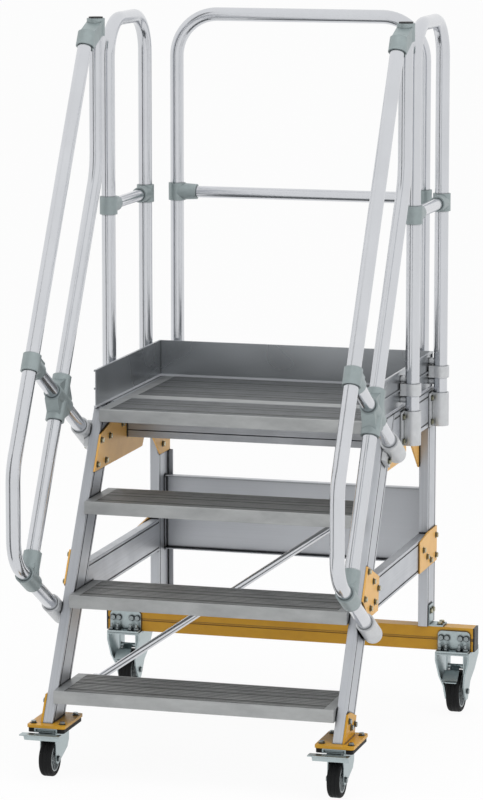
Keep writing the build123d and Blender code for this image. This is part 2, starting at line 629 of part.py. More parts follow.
UPPER_FRONT_HOLES = [
    ((INNER_X - GUSSET_THICKNESS, slope_y(z, out), z), (-1, 0, 0))
    for z in (SIDE_BEAM_BOTTOM + 16, SIDE_BEAM_BOTTOM - 48)
    for out in (STRINGER_FRONT_OUT - 14, STRINGER_REAR_OUT + 16)
] + [
    ((INNER_X - GUSSET_THICKNESS, y, SIDE_BEAM_BOTTOM + UPPER_GUSSET_LAP / 2), (-1, 0, 0))
    for y in (CROSS_BEAM_FRONT - 40, CROSS_BEAM_FRONT + CROSS_BEAM_THICKNESS + 40)
]
UPPER_REAR_HOLES = [
    ((INNER_X - GUSSET_THICKNESS, y, z), (-1, 0, 0))
    for y, z in (
        (LEG_FRONT + 22, SIDE_BEAM_BOTTOM - REAR_GUSSET_DROP + 28),
        (LEG_FRONT + 22, SIDE_BEAM_BOTTOM - REAR_GUSSET_DROP + 82),
        (LEG_FRONT + 26, SIDE_BEAM_BOTTOM + UPPER_GUSSET_LAP / 2),
        (REAR_GUSSET_FRONT + 40, SIDE_BEAM_BOTTOM + UPPER_GUSSET_LAP / 2),
    )
]
SIDE_RAIL_TOP = SIDE_RAIL_BOTTOM + SIDE_RAIL_HEIGHT
RAIL_FRONT_Y = slope_y(SIDE_RAIL_BOTTOM + SIDE_RAIL_HEIGHT / 2, STRINGER_REAR_OUT)
LOWER_GUSSET_REAR = RAIL_FRONT_Y + LOWER_GUSSET_FRONT_REACH
LOWER_FRONT_HOLES = [
    ((OUTER_X + GUSSET_THICKNESS, y, z), (1, 0, 0))
    for y, z in (
        (slope_y(SIDE_RAIL_TOP + 34, STRINGER_FRONT_OUT - 16), SIDE_RAIL_TOP + 34),
        (slope_y(SIDE_RAIL_TOP - 4, STRINGER_REAR_OUT + 14), SIDE_RAIL_TOP - 4),
        (slope_y(SIDE_RAIL_BOTTOM + 61, STRINGER_FRONT_OUT - 15), SIDE_RAIL_BOTTOM + 61),
        (slope_y(SIDE_RAIL_BOTTOM + 23, STRINGER_REAR_OUT + 10), SIDE_RAIL_BOTTOM + 23),
        (LOWER_GUSSET_REAR - 15, SIDE_RAIL_BOTTOM + 62),
        (LOWER_GUSSET_REAR - 54, SIDE_RAIL_BOTTOM + 31),
    )
]
LOWER_REAR_HOLES = [
    ((OUTER_X + GUSSET_THICKNESS, LEG_FRONT + y, SIDE_RAIL_BOTTOM + z), (1, 0, 0))
    for y, z in ((-76, 62), (-30, 34), (14, 16), (PROFILE_DEPTH - 14, 18), (PROFILE_DEPTH - 14, 78))
]
CLEAT_SIDE_HOLES = [
    ((OUTER_X + CLEAT_THICKNESS, y, BEAM_TOP + CLEAT_HEIGHT - 18), (1, 0, 0))
    for y in (BEAM_FRONT + CLEAT_BOLT_INSET, BEAM_REAR - CLEAT_BOLT_INSET)
]
CLEAT_BASE_HOLES = [
    ((OUTER_X + CLEAT_REACH - CLEAT_BOLT_INSET, y, BEAM_TOP + CLEAT_THICKNESS), (0, 0, 1))
    for y in (BEAM_FRONT + CLEAT_BOLT_INSET, BEAM_REAR - CLEAT_BOLT_INSET)
]


def upper_front_gusset():
    """Plate inside the stringer's head and the side beam."""
    bottom = SIDE_BEAM_BOTTOM - UPPER_GUSSET_DROP
    top = SIDE_BEAM_BOTTOM + UPPER_GUSSET_LAP
    head_rear = slope_y(SIDE_BEAM_BOTTOM, STRINGER_REAR_OUT)
    head = SIDE_BEAM_BOTTOM + UPPER_GUSSET_HEAD
    corner_y, corner_z = UPPER_GUSSET_CORNER
    outline = [
        (slope_y(head, STRINGER_FRONT_OUT), head),
        (slope_y(bottom, STRINGER_FRONT_OUT), bottom),
        (UPPER_GUSSET_REAR - corner_y, bottom),
        (UPPER_GUSSET_REAR, bottom + corner_z),
        (UPPER_GUSSET_REAR, top),
        (head_rear + 50, top),
    ]
    plate = plate_yz(outline, INNER_X - GUSSET_THICKNESS, INNER_X)
    return drilled(plate, UPPER_FRONT_HOLES, GUSSET_THICKNESS)


def upper_rear_gusset():
    """Plate inside the leg's head and the side beam."""
    bottom = SIDE_BEAM_BOTTOM - REAR_GUSSET_DROP
    top = SIDE_BEAM_BOTTOM + UPPER_GUSSET_LAP
    outline = [
        (REAR_GUSSET_FRONT, top),
        (REAR_GUSSET_FRONT, SIDE_BEAM_BOTTOM),
        (LEG_FRONT, bottom),
        (LEG_REAR, bottom),
        (LEG_REAR, top),
    ]
    plate = plate_yz(outline, INNER_X - GUSSET_THICKNESS, INNER_X)
    return drilled(plate, UPPER_REAR_HOLES, GUSSET_THICKNESS)


def lower_front_gusset():
    """Plate outside the joint of stringer and side rail."""
    bottom = SIDE_RAIL_BOTTOM - LOWER_GUSSET_BELOW
    upper = SIDE_RAIL_TOP + LOWER_GUSSET_ABOVE
    rear = LOWER_GUSSET_REAR
    outline = [
        (slope_y(upper, STRINGER_FRONT_OUT), upper),
        (slope_y(bottom + 60, STRINGER_FRONT_OUT), bottom + 60),
        (slope_y(bottom, STRINGER_REAR_OUT) - LOWER_GUSSET_CORNER, bottom),
        (rear - LOWER_GUSSET_CORNER, bottom),
        (rear, SIDE_RAIL_TOP - LOWER_GUSSET_END_DROP),
    ]
    plate = plate_yz(outline, OUTER_X, OUTER_X + GUSSET_THICKNESS)
    return drilled(plate, LOWER_FRONT_HOLES, GUSSET_THICKNESS)


def lower_rear_gusset():
    """Plate outside the joint of side rail and leg."""
    outline = [
        (LEG_FRONT - LOWER_GUSSET_REACH, SIDE_RAIL_BOTTOM),
        (LEG_REAR, SIDE_RAIL_BOTTOM),
        (LEG_REAR, SIDE_RAIL_TOP + LOWER_GUSSET_TOP),
        (LEG_FRONT, SIDE_RAIL_TOP + LOWER_GUSSET_TOP),
        (LEG_FRONT - LOWER_GUSSET_REACH, SIDE_RAIL_TOP - LOWER_GUSSET_END_DROP),
    ]
    plate = plate_yz(outline, OUTER_X, OUTER_X + GUSSET_THICKNESS)
    return drilled(plate, LOWER_REAR_HOLES, GUSSET_THICKNESS)


def leg_cleat():
    """Angle between the leg's outer face and the top of the rear beam."""
    wall = span(OUTER_X, OUTER_X + CLEAT_THICKNESS, BEAM_FRONT, BEAM_REAR, BEAM_TOP, BEAM_TOP + CLEAT_HEIGHT)
    base = span(OUTER_X, OUTER_X + CLEAT_REACH, BEAM_FRONT, BEAM_REAR, BEAM_TOP, BEAM_TOP + CLEAT_THICKNESS)
    cleat = drilled(wall + base, CLEAT_SIDE_HOLES + CLEAT_BASE_HOLES, CLEAT_THICKNESS)
    return cleat


# ---------------------------------------------------------------- platform rails
def guard_hoop():
    """Right guard: upright hoop of tube beside the platform."""
    points = [
        (RAIL_CENTRE_X, HOOP_FRONT, POST_FOOT), (RAIL_CENTRE_X, HOOP_FRONT, HOOP_TOP),
        (RAIL_CENTRE_X, HOOP_REAR, HOOP_TOP), (RAIL_CENTRE_X, HOOP_REAR, POST_FOOT),
    ]
    return bent_tube(points, [HOOP_BEND, HOOP_BEND], RAIL_RADIUS, RAIL_WALL)


def rear_guardrail():
    half = REAR_RAIL_HALF_WIDTH
    points = [
        (-half, REAR_POST_Y, POST_FOOT), (-half, REAR_POST_Y, REAR_RAIL_TOP),
        (half, REAR_POST_Y, REAR_RAIL_TOP), (half, REAR_POST_Y, POST_FOOT),
    ]
    return bent_tube(points, [REAR_RAIL_BEND, REAR_RAIL_BEND], RAIL_RADIUS, RAIL_WALL)


MID_RAIL_END = BORE_RADIUS + 1.0    # from a post's centre to the end of a middle rail


def mid_rails():
    """Middle rails of the right and left guards and of the rear guard."""
    side_ends = [
        (RAIL_CENTRE_X, HOOP_FRONT + MID_RAIL_END, MID_RAIL_HEIGHT),
        (RAIL_CENTRE_X, HOOP_REAR - MID_RAIL_END, MID_RAIL_HEIGHT),
    ]
    half = REAR_RAIL_HALF_WIDTH - MID_RAIL_END
    rear_ends = [(-half, REAR_POST_Y, MID_RAIL_HEIGHT), (half, REAR_POST_Y, MID_RAIL_HEIGHT)]
    side = bent_tube(side_ends, None, MID_RAIL_RADIUS, RAIL_WALL)
    rear = bent_tube(rear_ends, None, MID_RAIL_RADIUS, RAIL_WALL)
    return both_sides(side) + [rear]


def tee_fitting(x, y, direction):
    """Clamp round a post with a stub for a middle rail."""
    low = (x, y, MID_RAIL_HEIGHT - TEE_HEIGHT / 2)
    high = (x, y, MID_RAIL_HEIGHT + TEE_HEIGHT / 2)
    centre = Vector(x, y, MID_RAIL_HEIGHT)
    toward = Vector(*direction)
    stub_radius = MID_RAIL_RADIUS + FITTING_WALL
    bottom = (Align.CENTER, Align.CENTER, Align.MIN)
    stub = Plane(origin=centre, z_dir=toward) * Cone(FITTING_RADIUS, stub_radius, TEE_STUB, align=bottom)
    body = rod(low, high, FITTING_RADIUS) + stub
    body -= rod((x, y, low[2] - 1), (x, y, high[2] + 1), BORE_RADIUS)
    return body - rod(centre, centre + toward * (TEE_STUB + 1), MID_BORE_RADIUS)


def guardrail_tees():
    tees = []
    for y, direction in ((HOOP_FRONT, (0, 1, 0)), (HOOP_REAR, (0, -1, 0))):
        tees += both_sides(tee_fitting(RAIL_CENTRE_X, y, direction))
    tees += both_sides(tee_fitting(REAR_RAIL_HALF_WIDTH, REAR_POST_Y, (-1, 0, 0)))
    return tees


BRACKET_HOLES = [
    ((OUTER_X + BRACKET_FLANGE, y - BRACKET_BOLT_OFFSET, BRACKET_BOTTOM + height), (1, 0, 0))
    for y in (HOOP_FRONT, HOOP_REAR)
    for height in (BRACKET_BOLT_INSET, BRACKET_HEIGHT - BRACKET_BOLT_INSET)
]


def side_bracket(y):
    """Lower clamp of a side post: round sleeve with a foot on the side beam."""
    low, high = BRACKET_BOTTOM, BRACKET_BOTTOM + BRACKET_HEIGHT
    body = rod((RAIL_CENTRE_X, y, low), (RAIL_CENTRE_X, y, high), FITTING_RADIUS)
    body += span(OUTER_X, RAIL_CENTRE_X, y - BRACKET_HALF_WIDTH, y + BRACKET_HALF_WIDTH, low, high)
    foot_front = y - BRACKET_BOLT_OFFSET - WASHER_RADIUS - 2
    body += span(OUTER_X, OUTER_X + BRACKET_FLANGE, foot_front, y, low, high)
    body -= span(0, OUTER_X, -LONG, LONG, low - 1, high + 1)
    body -= rod((RAIL_CENTRE_X, y, POST_FOOT - 1), (RAIL_CENTRE_X, y, high + 1), BORE_RADIUS)
    return drilled(body, BRACKET_HOLES, BRACKET_FLANGE)


def rear_bracket():
    """Lower clamp of the right rear post, on the platform's rear beam."""
    low, high = BRACKET_BOTTOM, BRACKET_BOTTOM + BRACKET_HEIGHT
    x, y = REAR_RAIL_HALF_WIDTH, REAR_POST_Y
    beam_rear = PLATFORM_DEPTH
    body = rod((x, y, low), (x, y, high), FITTING_RADIUS)
    body += span(x - BRACKET_HALF_WIDTH, x + BRACKET_HALF_WIDTH, beam_rear, y, low, high)
    body -= span(0, LONG, -LONG, beam_rear, 0, LONG)
    return body - rod((x, y, POST_FOOT - 1), (x, y, high + 1), BORE_RADIUS)


def post_brackets():
    brackets = []
    for y in (HOOP_FRONT, HOOP_REAR):
        brackets += both_sides(side_bracket(y))
    return brackets + both_sides(rear_bracket())


def sleeve_with_spacers(x, y, board, axis):
    """Clamp that ties a post to the toe board, and two round spacers beside it."""
    low, high = SLEEVE_BOTTOM, SLEEVE_BOTTOM + SLEEVE_HEIGHT
    half = BRACKET_HALF_WIDTH
    sleeve = rod((x, y, low), (x, y, high), FITTING_RADIUS)
    if axis == "x":
        sleeve += span(board, x, y - half, y + half, low, high)
        sleeve -= span(0, board, -LONG, LONG, low - 1, high + 1)
    else:
        sleeve += span(x - half, x + half, board, y, low, high)
        sleeve -= span(0, LONG, -LONG, board, low - 1, high + 1)
    sleeve -= rod((x, y, low - 1), (x, y, high + 1), BORE_RADIUS)
    pieces = [sleeve]
    sheet = board - TOE_RIB_DEPTH
    for z in (low - SPACER_GAP - SPACER_RADIUS, high + SPACER_GAP + SPACER_RADIUS):
        tool = rod((x, y, 0), (x, y, LONG), BORE_RADIUS)
        if axis == "x":
            spacer = rod((sheet, y, z), (x, y, z), SPACER_RADIUS)
        else:
            spacer = rod((x, sheet, z), (x, y, z), SPACER_RADIUS)
        pieces.append(spacer - tool)
    return pieces


# ---------------------------------------------------------------- stair rails
def handrail():
    """Right handrail: down the slope, upright at the front, then back to the stringer."""
    x = RAIL_CENTRE_X
    corner_down = (HANDRAIL_FRONT - SIN * HANDRAIL_OUT) / COS
    lower_out = (HANDRAIL_FRONT - COS * LOWER_TIE_DOWN) / SIN
    points = [
        stair_point(HANDRAIL_TOP_DOWN, HANDRAIL_OUT, x),
        stair_point(corner_down, HANDRAIL_OUT, x),
        stair_point(LOWER_TIE_DOWN, lower_out, x),
        stair_point(LOWER_TIE_DOWN, TIE_END_OUT, x),
    ]
    return bent_tube(points, [HANDRAIL_BEND, HANDRAIL_LOWER_BEND], RAIL_RADIUS, RAIL_WALL)


def knee_rail():
    """Right knee rail: upright beside the platform, then down the slope."""
    x = RAIL_CENTRE_X
    corner_down = -(KNEE_POST_Y + SIN * KNEE_RAIL_OUT) / COS
    points = [
        (x, KNEE_POST_Y, KNEE_POST_TOP),
        stair_point(corner_down, KNEE_RAIL_OUT, x),
        stair_point(LOWER_TIE_DOWN - BORE_RADIUS - 1, KNEE_RAIL_OUT, x),
    ]
    return bent_tube(points, [KNEE_BEND], RAIL_RADIUS, RAIL_WALL)


def cross_tubes():
    """Two tie tubes on each side: handrail to knee rail, and knee rail to stringer."""
    gap = BORE_RADIUS + 1
    tubes = []
    for start, end in (
        (HANDRAIL_OUT - gap, KNEE_RAIL_OUT + gap), (KNEE_RAIL_OUT - gap, TIE_END_OUT)
    ):
        ends = [stair_point(UPPER_TIE_DOWN, out, RAIL_CENTRE_X) for out in (start, end)]
        tubes += both_sides(bent_tube(ends, None, RAIL_RADIUS, RAIL_WALL))
    return tubes


def slope_rod(down0, out0, down1, out1, radius):
    return rod(
        stair_point(down0, out0, RAIL_CENTRE_X), stair_point(down1, out1, RAIL_CENTRE_X), radius
    )


def clamp_web(corners):
    """Web of a clamp, between (down, out) corners in the plane of the stair rails."""
    x = RAIL_CENTRE_X
    outline = [stair_point(down, out)[1:] for down, out in corners]
    return plate_yz(outline, x - CLAMP_WEB / 2, x + CLAMP_WEB / 2)


def handrail_clamp():
    """Tee that hangs the upper tie from the handrail, with a web above the tie."""
    half = TEE_CLAMP_LENGTH / 2
    down, out = UPPER_TIE_DOWN, HANDRAIL_OUT
    body = slope_rod(down - half, out, down + half, out, FITTING_RADIUS)
    body += slope_rod(down, out, down, out - CLAMP_STUB, FITTING_RADIUS)
    mouth = out - CLAMP_STUB
    body += clamp_web([
        (down - half - CLAMP_STUB / 2, out), (down - FITTING_RADIUS, mouth), (down, mouth), (down, out)
    ]) & slope_rod(down - half, out, down + half, out, LONG)
    body -= slope_rod(down - half - 1, out, down + half + 1, out, BORE_RADIUS)
    return body - slope_rod(down, out, down, out - CLAMP_STUB - 1, BORE_RADIUS)


def cross_clamp():
    """Four-way clamp where the upper tie crosses the knee rail, webbed on all four sides."""
    half = CROSS_CLAMP_LENGTH / 2
    down, out = UPPER_TIE_DOWN, KNEE_RAIL_OUT
    body = slope_rod(down - half, out, down + half, out, FITTING_RADIUS + 1)
    body += slope_rod(down, out - CLAMP_STUB, down, out + CLAMP_STUB, FITTING_RADIUS)
    reach = FITTING_RADIUS - 2
    body += clamp_web([
        (down - half, out), (down - reach, out + CLAMP_STUB), (down + reach, out + CLAMP_STUB),
        (down + half, out), (down + reach, out - CLAMP_STUB), (down - reach, out - CLAMP_STUB),
    ])
    body -= slope_rod(down - half - 1, out, down + half + 1, out, BORE_RADIUS)
    return body - slope_rod(down, out - CLAMP_STUB - 1, down, out + CLAMP_STUB + 1, BORE_RADIUS)


def lower_clamp():
    """Clamp that joins the knee rail's foot to the handrail's lower run."""
    down, out = LOWER_TIE_DOWN, KNEE_RAIL_OUT
    reach = LOWER_CLAMP_REACH
    half = LOWER_CLAMP_LENGTH / 2
    body = slope_rod(down, out - half, down, out + half, FITTING_RADIUS + 1)
    body += slope_rod(down, out, down - reach, out, FITTING_RADIUS)
    body += clamp_web([(down, out - half), (down - reach, out), (down, out + half)])
    body -= slope_rod(down, out - half - 1, down, out + half + 1, BORE_RADIUS)
    return body - slope_rod(down, out, down - reach - 1, out, BORE_RADIUS)


def top_joint():
    """Casting that joins the upper ends of handrail and knee rail post."""
    x, y = RAIL_CENTRE_X, KNEE_POST_Y
    top = KNEE_POST_TOP + JOINT_CAP
    bottom = KNEE_POST_TOP - JOINT_HEIGHT
    end = stair_point(HANDRAIL_TOP_DOWN, HANDRAIL_OUT, x)
    low = stair_point(HANDRAIL_TOP_DOWN + JOINT_BACK, HANDRAIL_OUT, x)
    high = stair_point(HANDRAIL_TOP_DOWN - JOINT_NOSE, HANDRAIL_OUT, x)
    body = rod((x, y, bottom), (x, y, top), FITTING_RADIUS)
    body += rod(low, high, FITTING_RADIUS)
    half = JOINT_WEB / 2
    body += plate_yz(
        [
            (y, bottom + JOINT_WEB_INSET), (low[1], low[2] - FITTING_RADIUS / 2),
            (high[1] - FITTING_RADIUS / 2, high[2]), (y, top - JOINT_WEB_INSET),
        ],
        x - half, x + half,
    )
    past_low = stair_point(HANDRAIL_TOP_DOWN + 2 * JOINT_BACK, HANDRAIL_OUT, x)
    body -= rod(low, end, BORE_RADIUS)
    body -= rod(low, past_low, BORE_RADIUS)
    return body - rod((x, y, 0), (x, y, KNEE_POST_TOP), BORE_RADIUS)


def top_plug():
    x, y = RAIL_CENTRE_X, KNEE_POST_Y
    base = KNEE_POST_TOP + JOINT_CAP
    return rod((x, y, base), (x, y, base + TOP_PLUG_HEIGHT), RAIL_RADIUS)


def socket_bolt_hole(down):
    below = SOCKET_FLANGE_LENGTH - SOCKET_FLANGE_ABOVE - SOCKET_BOLT_INSET
    out = STRINGER_FRONT_OUT - SOCKET_BOLT_OUT
    return (stair_point(down + below, out, OUTER_X + SOCKET_FLANGE), (1, 0, 0))


def stringer_socket(down):
    """Cup for the end of a tie tube, against the stringer's outer face."""
    end_out = SOCKET_START_OUT - SOCKET_LENGTH
    mouth = stair_point(down, SOCKET_START_OUT, RAIL_CENTRE_X)
    body = domed_rod(mouth, stair_point(down, end_out, RAIL_CENTRE_X), FITTING_RADIUS + 1)
    body -= span(0, OUTER_X, -LONG, LONG, 0, LONG)
    return body - slope_rod(down, SOCKET_START_OUT + 1, down, TIE_END_OUT, BORE_RADIUS)


def flanged_socket(down):
    """The same cup with a bolted foot that runs down the stringer."""
    below = SOCKET_FLANGE_LENGTH - SOCKET_FLANGE_ABOVE
    lower_end = stair_plane(OUTER_X, down + below, STRINGER_FRONT_OUT - SOCKET_FLANGE_OUT)
    flange = Rectangle(SOCKET_FLANGE, SOCKET_FLANGE_WIDTH, align=(Align.MIN, Align.MIN))
    foot = extrude(lower_end * flange, SOCKET_FLANGE_LENGTH)
    foot -= slope_rod(down, SOCKET_START_OUT + 1, down, TIE_END_OUT, BORE_RADIUS)
    return drilled(stringer_socket(down) + foot, [socket_bolt_hole(down)], SOCKET_FLANGE + 1)


# ---------------------------------------------------------------- front castors
FOOT_TAB_HOLES = [
    ((OUTER_X + FOOT_TAB_THICKNESS, slope_y(z, out), z), (1, 0, 0))
    for z, out in (
        (FOOT_PLATE_TOP + 52, STRINGER_FRONT_OUT - 18),
        (FOOT_PLATE_TOP + 30, STRINGER_FRONT_OUT - 46),
        (FOOT_PLATE_TOP + 30, STRINGER_REAR_OUT + 16),
    )
]
FOOT_BOLT_HOLES = [
    ((FOOT_CENTRE_X + x, FOOT_CENTRE_Y + y, FOOT_PLATE_TOP), (0, 0, 1))
    for x, y in ((-40, -56), (42, -58), (-40, 58), (42, 56))
]


def foot_plate():
    """Right foot plate with a tab bolted to the stringer."""
    outline = RectangleRounded(FOOT_PLATE_WIDTH, FOOT_PLATE_LENGTH, FOOT_CORNER)
    plate = extrude(Pos(FOOT_CENTRE_X, FOOT_CENTRE_Y, PAD_TOP) * outline, FOOT_PLATE_THICKNESS)
    top = FOOT_PLATE_TOP + FOOT_TAB_HEIGHT
    peak = top + FOOT_TAB_PEAK
    tab = plate_yz(
        [
            (slope_y(FOOT_PLATE_TOP - 1, STRINGER_FRONT_OUT), FOOT_PLATE_TOP - 1),
            (slope_y(FOOT_PLATE_TOP - 1, STRINGER_REAR_OUT), FOOT_PLATE_TOP - 1),
            (slope_y(top, STRINGER_REAR_OUT + 8), top),
            (slope_y(peak, STRINGER_FRONT_OUT - 24), peak),
            (slope_y(peak, STRINGER_FRONT_OUT), peak),
        ],
        OUTER_X, OUTER_X + FOOT_TAB_THICKNESS,
    )
    body = drilled(plate + tab, FOOT_TAB_HOLES, FOOT_TAB_THICKNESS)
    return drilled(body, FOOT_BOLT_HOLES, FOOT_PLATE_THICKNESS)


def castor_head():
    """Fixed head of the right front castor, with its swivel race and kingpin."""
    front = FOOT_CENTRE_Y - FOOT_PLATE_LENGTH / 2 + HEAD_FRONT_INSET
    half = HEAD_WIDTH / 2
    rear = FOOT_CENTRE_Y + HEAD_REAR
    x = FOOT_CENTRE_X
    head = span(x - half, x + half, front, rear, PAD_BOTTOM, PAD_TOP)
    recess = span(x - half + 4, x + half - 4, front - 1, front + 3, PAD_BOTTOM + 3, PAD_TOP - 3)
    race_low = FORK_TOP + RACE_GAP
    head += rod((x, FOOT_CENTRE_Y, race_low), (x, FOOT_CENTRE_Y, PAD_BOTTOM + 1), RACE_RADIUS)
    pin_low = FORK_TOP - FORK_SHEET - RACE_GAP - KINGPIN_NUT_HEIGHT
    head += rod((x, FOOT_CENTRE_Y, pin_low), (x, FOOT_CENTRE_Y, PAD_BOTTOM + 1), KINGPIN_RADIUS)
    nut_top = FORK_TOP - FORK_SHEET - RACE_GAP
    head += rod((x, FOOT_CENTRE_Y, pin_low), (x, FOOT_CENTRE_Y, nut_top), KINGPIN_NUT_RADIUS)
    return head - recess


def foot_pad():
    """Rubber pad under the foot plate, notched for the castor's head."""
    width = FOOT_PLATE_WIDTH - 2 * PAD_INSET
    length = FOOT_PLATE_LENGTH - 2 * PAD_INSET
    outline = RectangleRounded(width, length, FOOT_CORNER - PAD_INSET / 2)
    pad = extrude(Pos(FOOT_CENTRE_X, FOOT_CENTRE_Y, PAD_BOTTOM) * outline, PAD_THICKNESS)
    half = HEAD_WIDTH / 2
    return pad - span(
        FOOT_CENTRE_X - half, FOOT_CENTRE_X + half, -LONG, FOOT_CENTRE_Y + HEAD_REAR,
        PAD_BOTTOM - 1, PAD_TOP + 1,
    )


def front_fork(x):
    """Swivelling fork: bent sheet over the wheel with a pedal pin across its front."""
    axle_y, axle_z = FRONT_AXLE_Y, FRONT_WHEEL_RADIUS
    front = axle_y - FORK_FRONT_EDGE
    rear = FOOT_CENTRE_Y + FORK_REAR_EDGE
    sheet = span(x - FORK_OUTER, x + FORK_OUTER, front, rear, 0, FORK_TOP)
    sheet -= span(x - FORK_INNER, x + FORK_INNER, front - 1, rear + 1, -1, FORK_TOP - FORK_SHEET)
    outline = [
        (front, FORK_TOP), (front, axle_z - 4), (axle_y - 6, axle_z - 14), (axle_y + 8, axle_z - 14),
        (rear - 14, axle_z + 14), (rear, axle_z + 34), (rear, FORK_TOP),
    ]
    fork = sheet & plate_yz(outline, x - FORK_OUTER, x + FORK_OUTER)
    fork -= span(x - FORK_INNER, x + FORK_INNER, front - 1, FOOT_CENTRE_Y - RACE_RADIUS, 0, LONG)
    pin_y, pin_z = FRONT_PEDAL_PIN
    fork += rod((x - FORK_OUTER, pin_y, pin_z), (x + FORK_OUTER, pin_y, pin_z), PEDAL_PIN_RADIUS)
    hole = KINGPIN_RADIUS + KINGPIN_CLEARANCE
    fork -= rod((x, FOOT_CENTRE_Y, FORK_TOP - 9), (x, FOOT_CENTRE_Y, FORK_TOP + 1), hole)
    bore = AXLE_RADIUS + AXLE_CLEARANCE
    return fork - rod((x - LONG, axle_y, axle_z), (x + LONG, axle_y, axle_z), bore)


def axle(x, y, z, half_grip):
    """Axle bolt with a head on one side and a nut on the other."""
    shank = rod((x - half_grip - 1, y, z), (x + half_grip + 1, y, z), AXLE_RADIUS)
    for side in (LEFT, RIGHT):
        seat = Plane(origin=(x + side * half_grip, y, z), z_dir=(side, 0, 0))
        shank += seat * extrude(RegularPolygon(AXLE_HEAD_RADIUS, 6), AXLE_HEAD_THICKNESS)
    return shank


def wheel_hub(x, y, z, radius, width, boss_half):
    """Rim, web and boss of a wheel, turned about its axle."""
    rim_outer = radius - TYRE_THICKNESS
    rim_half = width * HUB_RIM_WIDTH_SHARE / 2
    rim = Cylinder(rim_outer, 2 * rim_half) - Cylinder(rim_outer - 5, 2 * rim_half)
    web = Cylinder(rim_outer - 1, HUB_WEB_THICKNESS)
    boss = Cylinder(HUB_BOSS_RADIUS, 2 * boss_half)
    body = rim + web + boss - Cylinder(AXLE_RADIUS + AXLE_CLEARANCE, LONG)
    return Plane(origin=(x, y, z), z_dir=(1, 0, 0)) * body


def tyre(x, y, z, radius, width):
    """Rounded solid tyre on the rim."""
    ring = Cylinder(radius, width)
    ring = fillet(ring.edges().filter_by(GeomType.CIRCLE), TYRE_ROUNDING)
    ring -= Cylinder(radius - TYRE_THICKNESS, LONG)
    return Plane(origin=(x, y, z), z_dir=(1, 0, 0)) * ring


def pedal_hub(x, pin, half_hub):
    """Hub of a brake pedal, before it is bored."""
    pin_y, pin_z = pin
    return rod((x - half_hub, pin_y, pin_z), (x + half_hub, pin_y, pin_z), PEDAL_HUB_RADIUS)


def bored(body, pin):
    """Pedal bored for its pin."""
    pin_y, pin_z = pin
    bore = PEDAL_PIN_RADIUS + PEDAL_PIN_CLEARANCE
    return body - rod((-LONG, pin_y, pin_z), (LONG, pin_y, pin_z), bore)


def front_pedal(x):
    """Brake pedal: level tread plate with a skirt, ahead of its hub, and a shoe over the tyre."""
    pin_y, pin_z = FRONT_PEDAL_PIN
    half_hub = FORK_INNER - RACE_GAP
    top = pin_z + PEDAL_HUB_RADIUS
    neck_front = pin_y - PEDAL_NECK
    front = neck_front - PEDAL_LENGTH
    left, right = x - FRONT_PEDAL_LEFT, x + FRONT_PEDAL_RIGHT
    body = pedal_hub(x, FRONT_PEDAL_PIN, half_hub)
    body += span(x - half_hub, x + half_hub, neck_front, pin_y, top - PEDAL_SHEET, top)
    body += span(left, right, front, neck_front, top - PEDAL_SHEET, top)
    lean = front + PEDAL_SKIRT_LEAN
    skirt = [
        (front, top), (front + PEDAL_SHEET, top),
        (lean + PEDAL_SHEET, top - PEDAL_SKIRT), (lean, top - PEDAL_SKIRT),
    ]
    body += plate_yz(skirt, left + PEDAL_TAB_INSET, right)
    half_shoe = SHOE_WIDTH / 2
    body += span(
        x - half_shoe, x + half_shoe, pin_y - SHOE_HALF_DEPTH, pin_y + SHOE_HALF_DEPTH,
        pin_z - SHOE_REACH, pin_z,
    )
    return bored(body, FRONT_PEDAL_PIN)


def round_rear_axle(angle, radius):
    """Point (y, z) ahead of and above the rear axle."""
    turn = math.radians(angle)
    return (REAR_CASTOR_Y - radius * math.cos(turn), REAR_WHEEL_RADIUS + radius * math.sin(turn))


def rear_pedal(x):
    """Brake pedal: plate that slopes down ahead of the tyre, with a lip at its foot."""
    pin_y, pin_z = REAR_PEDAL_PIN
    half_hub = REAR_FORK_INNER - RACE_GAP
    upper, lower = REAR_PEDAL_UPPER, REAR_PEDAL_LOWER
    to_corner = 1 / math.cos(math.radians((upper - lower) / 2))
    inner = (REAR_WHEEL_RADIUS + REAR_PEDAL_TYRE_GAP) * to_corner
    outer = inner + PEDAL_SHEET * to_corner
    outline = [
        round_rear_axle(upper, inner),
        round_rear_axle(upper, outer),
        round_rear_axle(lower, outer),
        round_rear_axle(lower, inner),
    ]
    left, right = x - REAR_PEDAL_LEFT, x + REAR_PEDAL_RIGHT
    body = pedal_hub(x, REAR_PEDAL_PIN, half_hub) + plate_yz(outline, left, right)
    neck = [(pin_y, pin_z + PEDAL_HUB_RADIUS), (pin_y, pin_z), outline[0], outline[1]]
    body += plate_yz(neck, x - SHOE_WIDTH / 2, x + SHOE_WIDTH / 2)
    foot_y, foot_z = outline[2]
    lip_left = left + PEDAL_TAB_INSET
    body += span(
        lip_left, right, foot_y - PEDAL_LIP, foot_y + PEDAL_SHEET, foot_z, foot_z + PEDAL_SHEET
    )
    return bored(body, REAR_PEDAL_PIN)


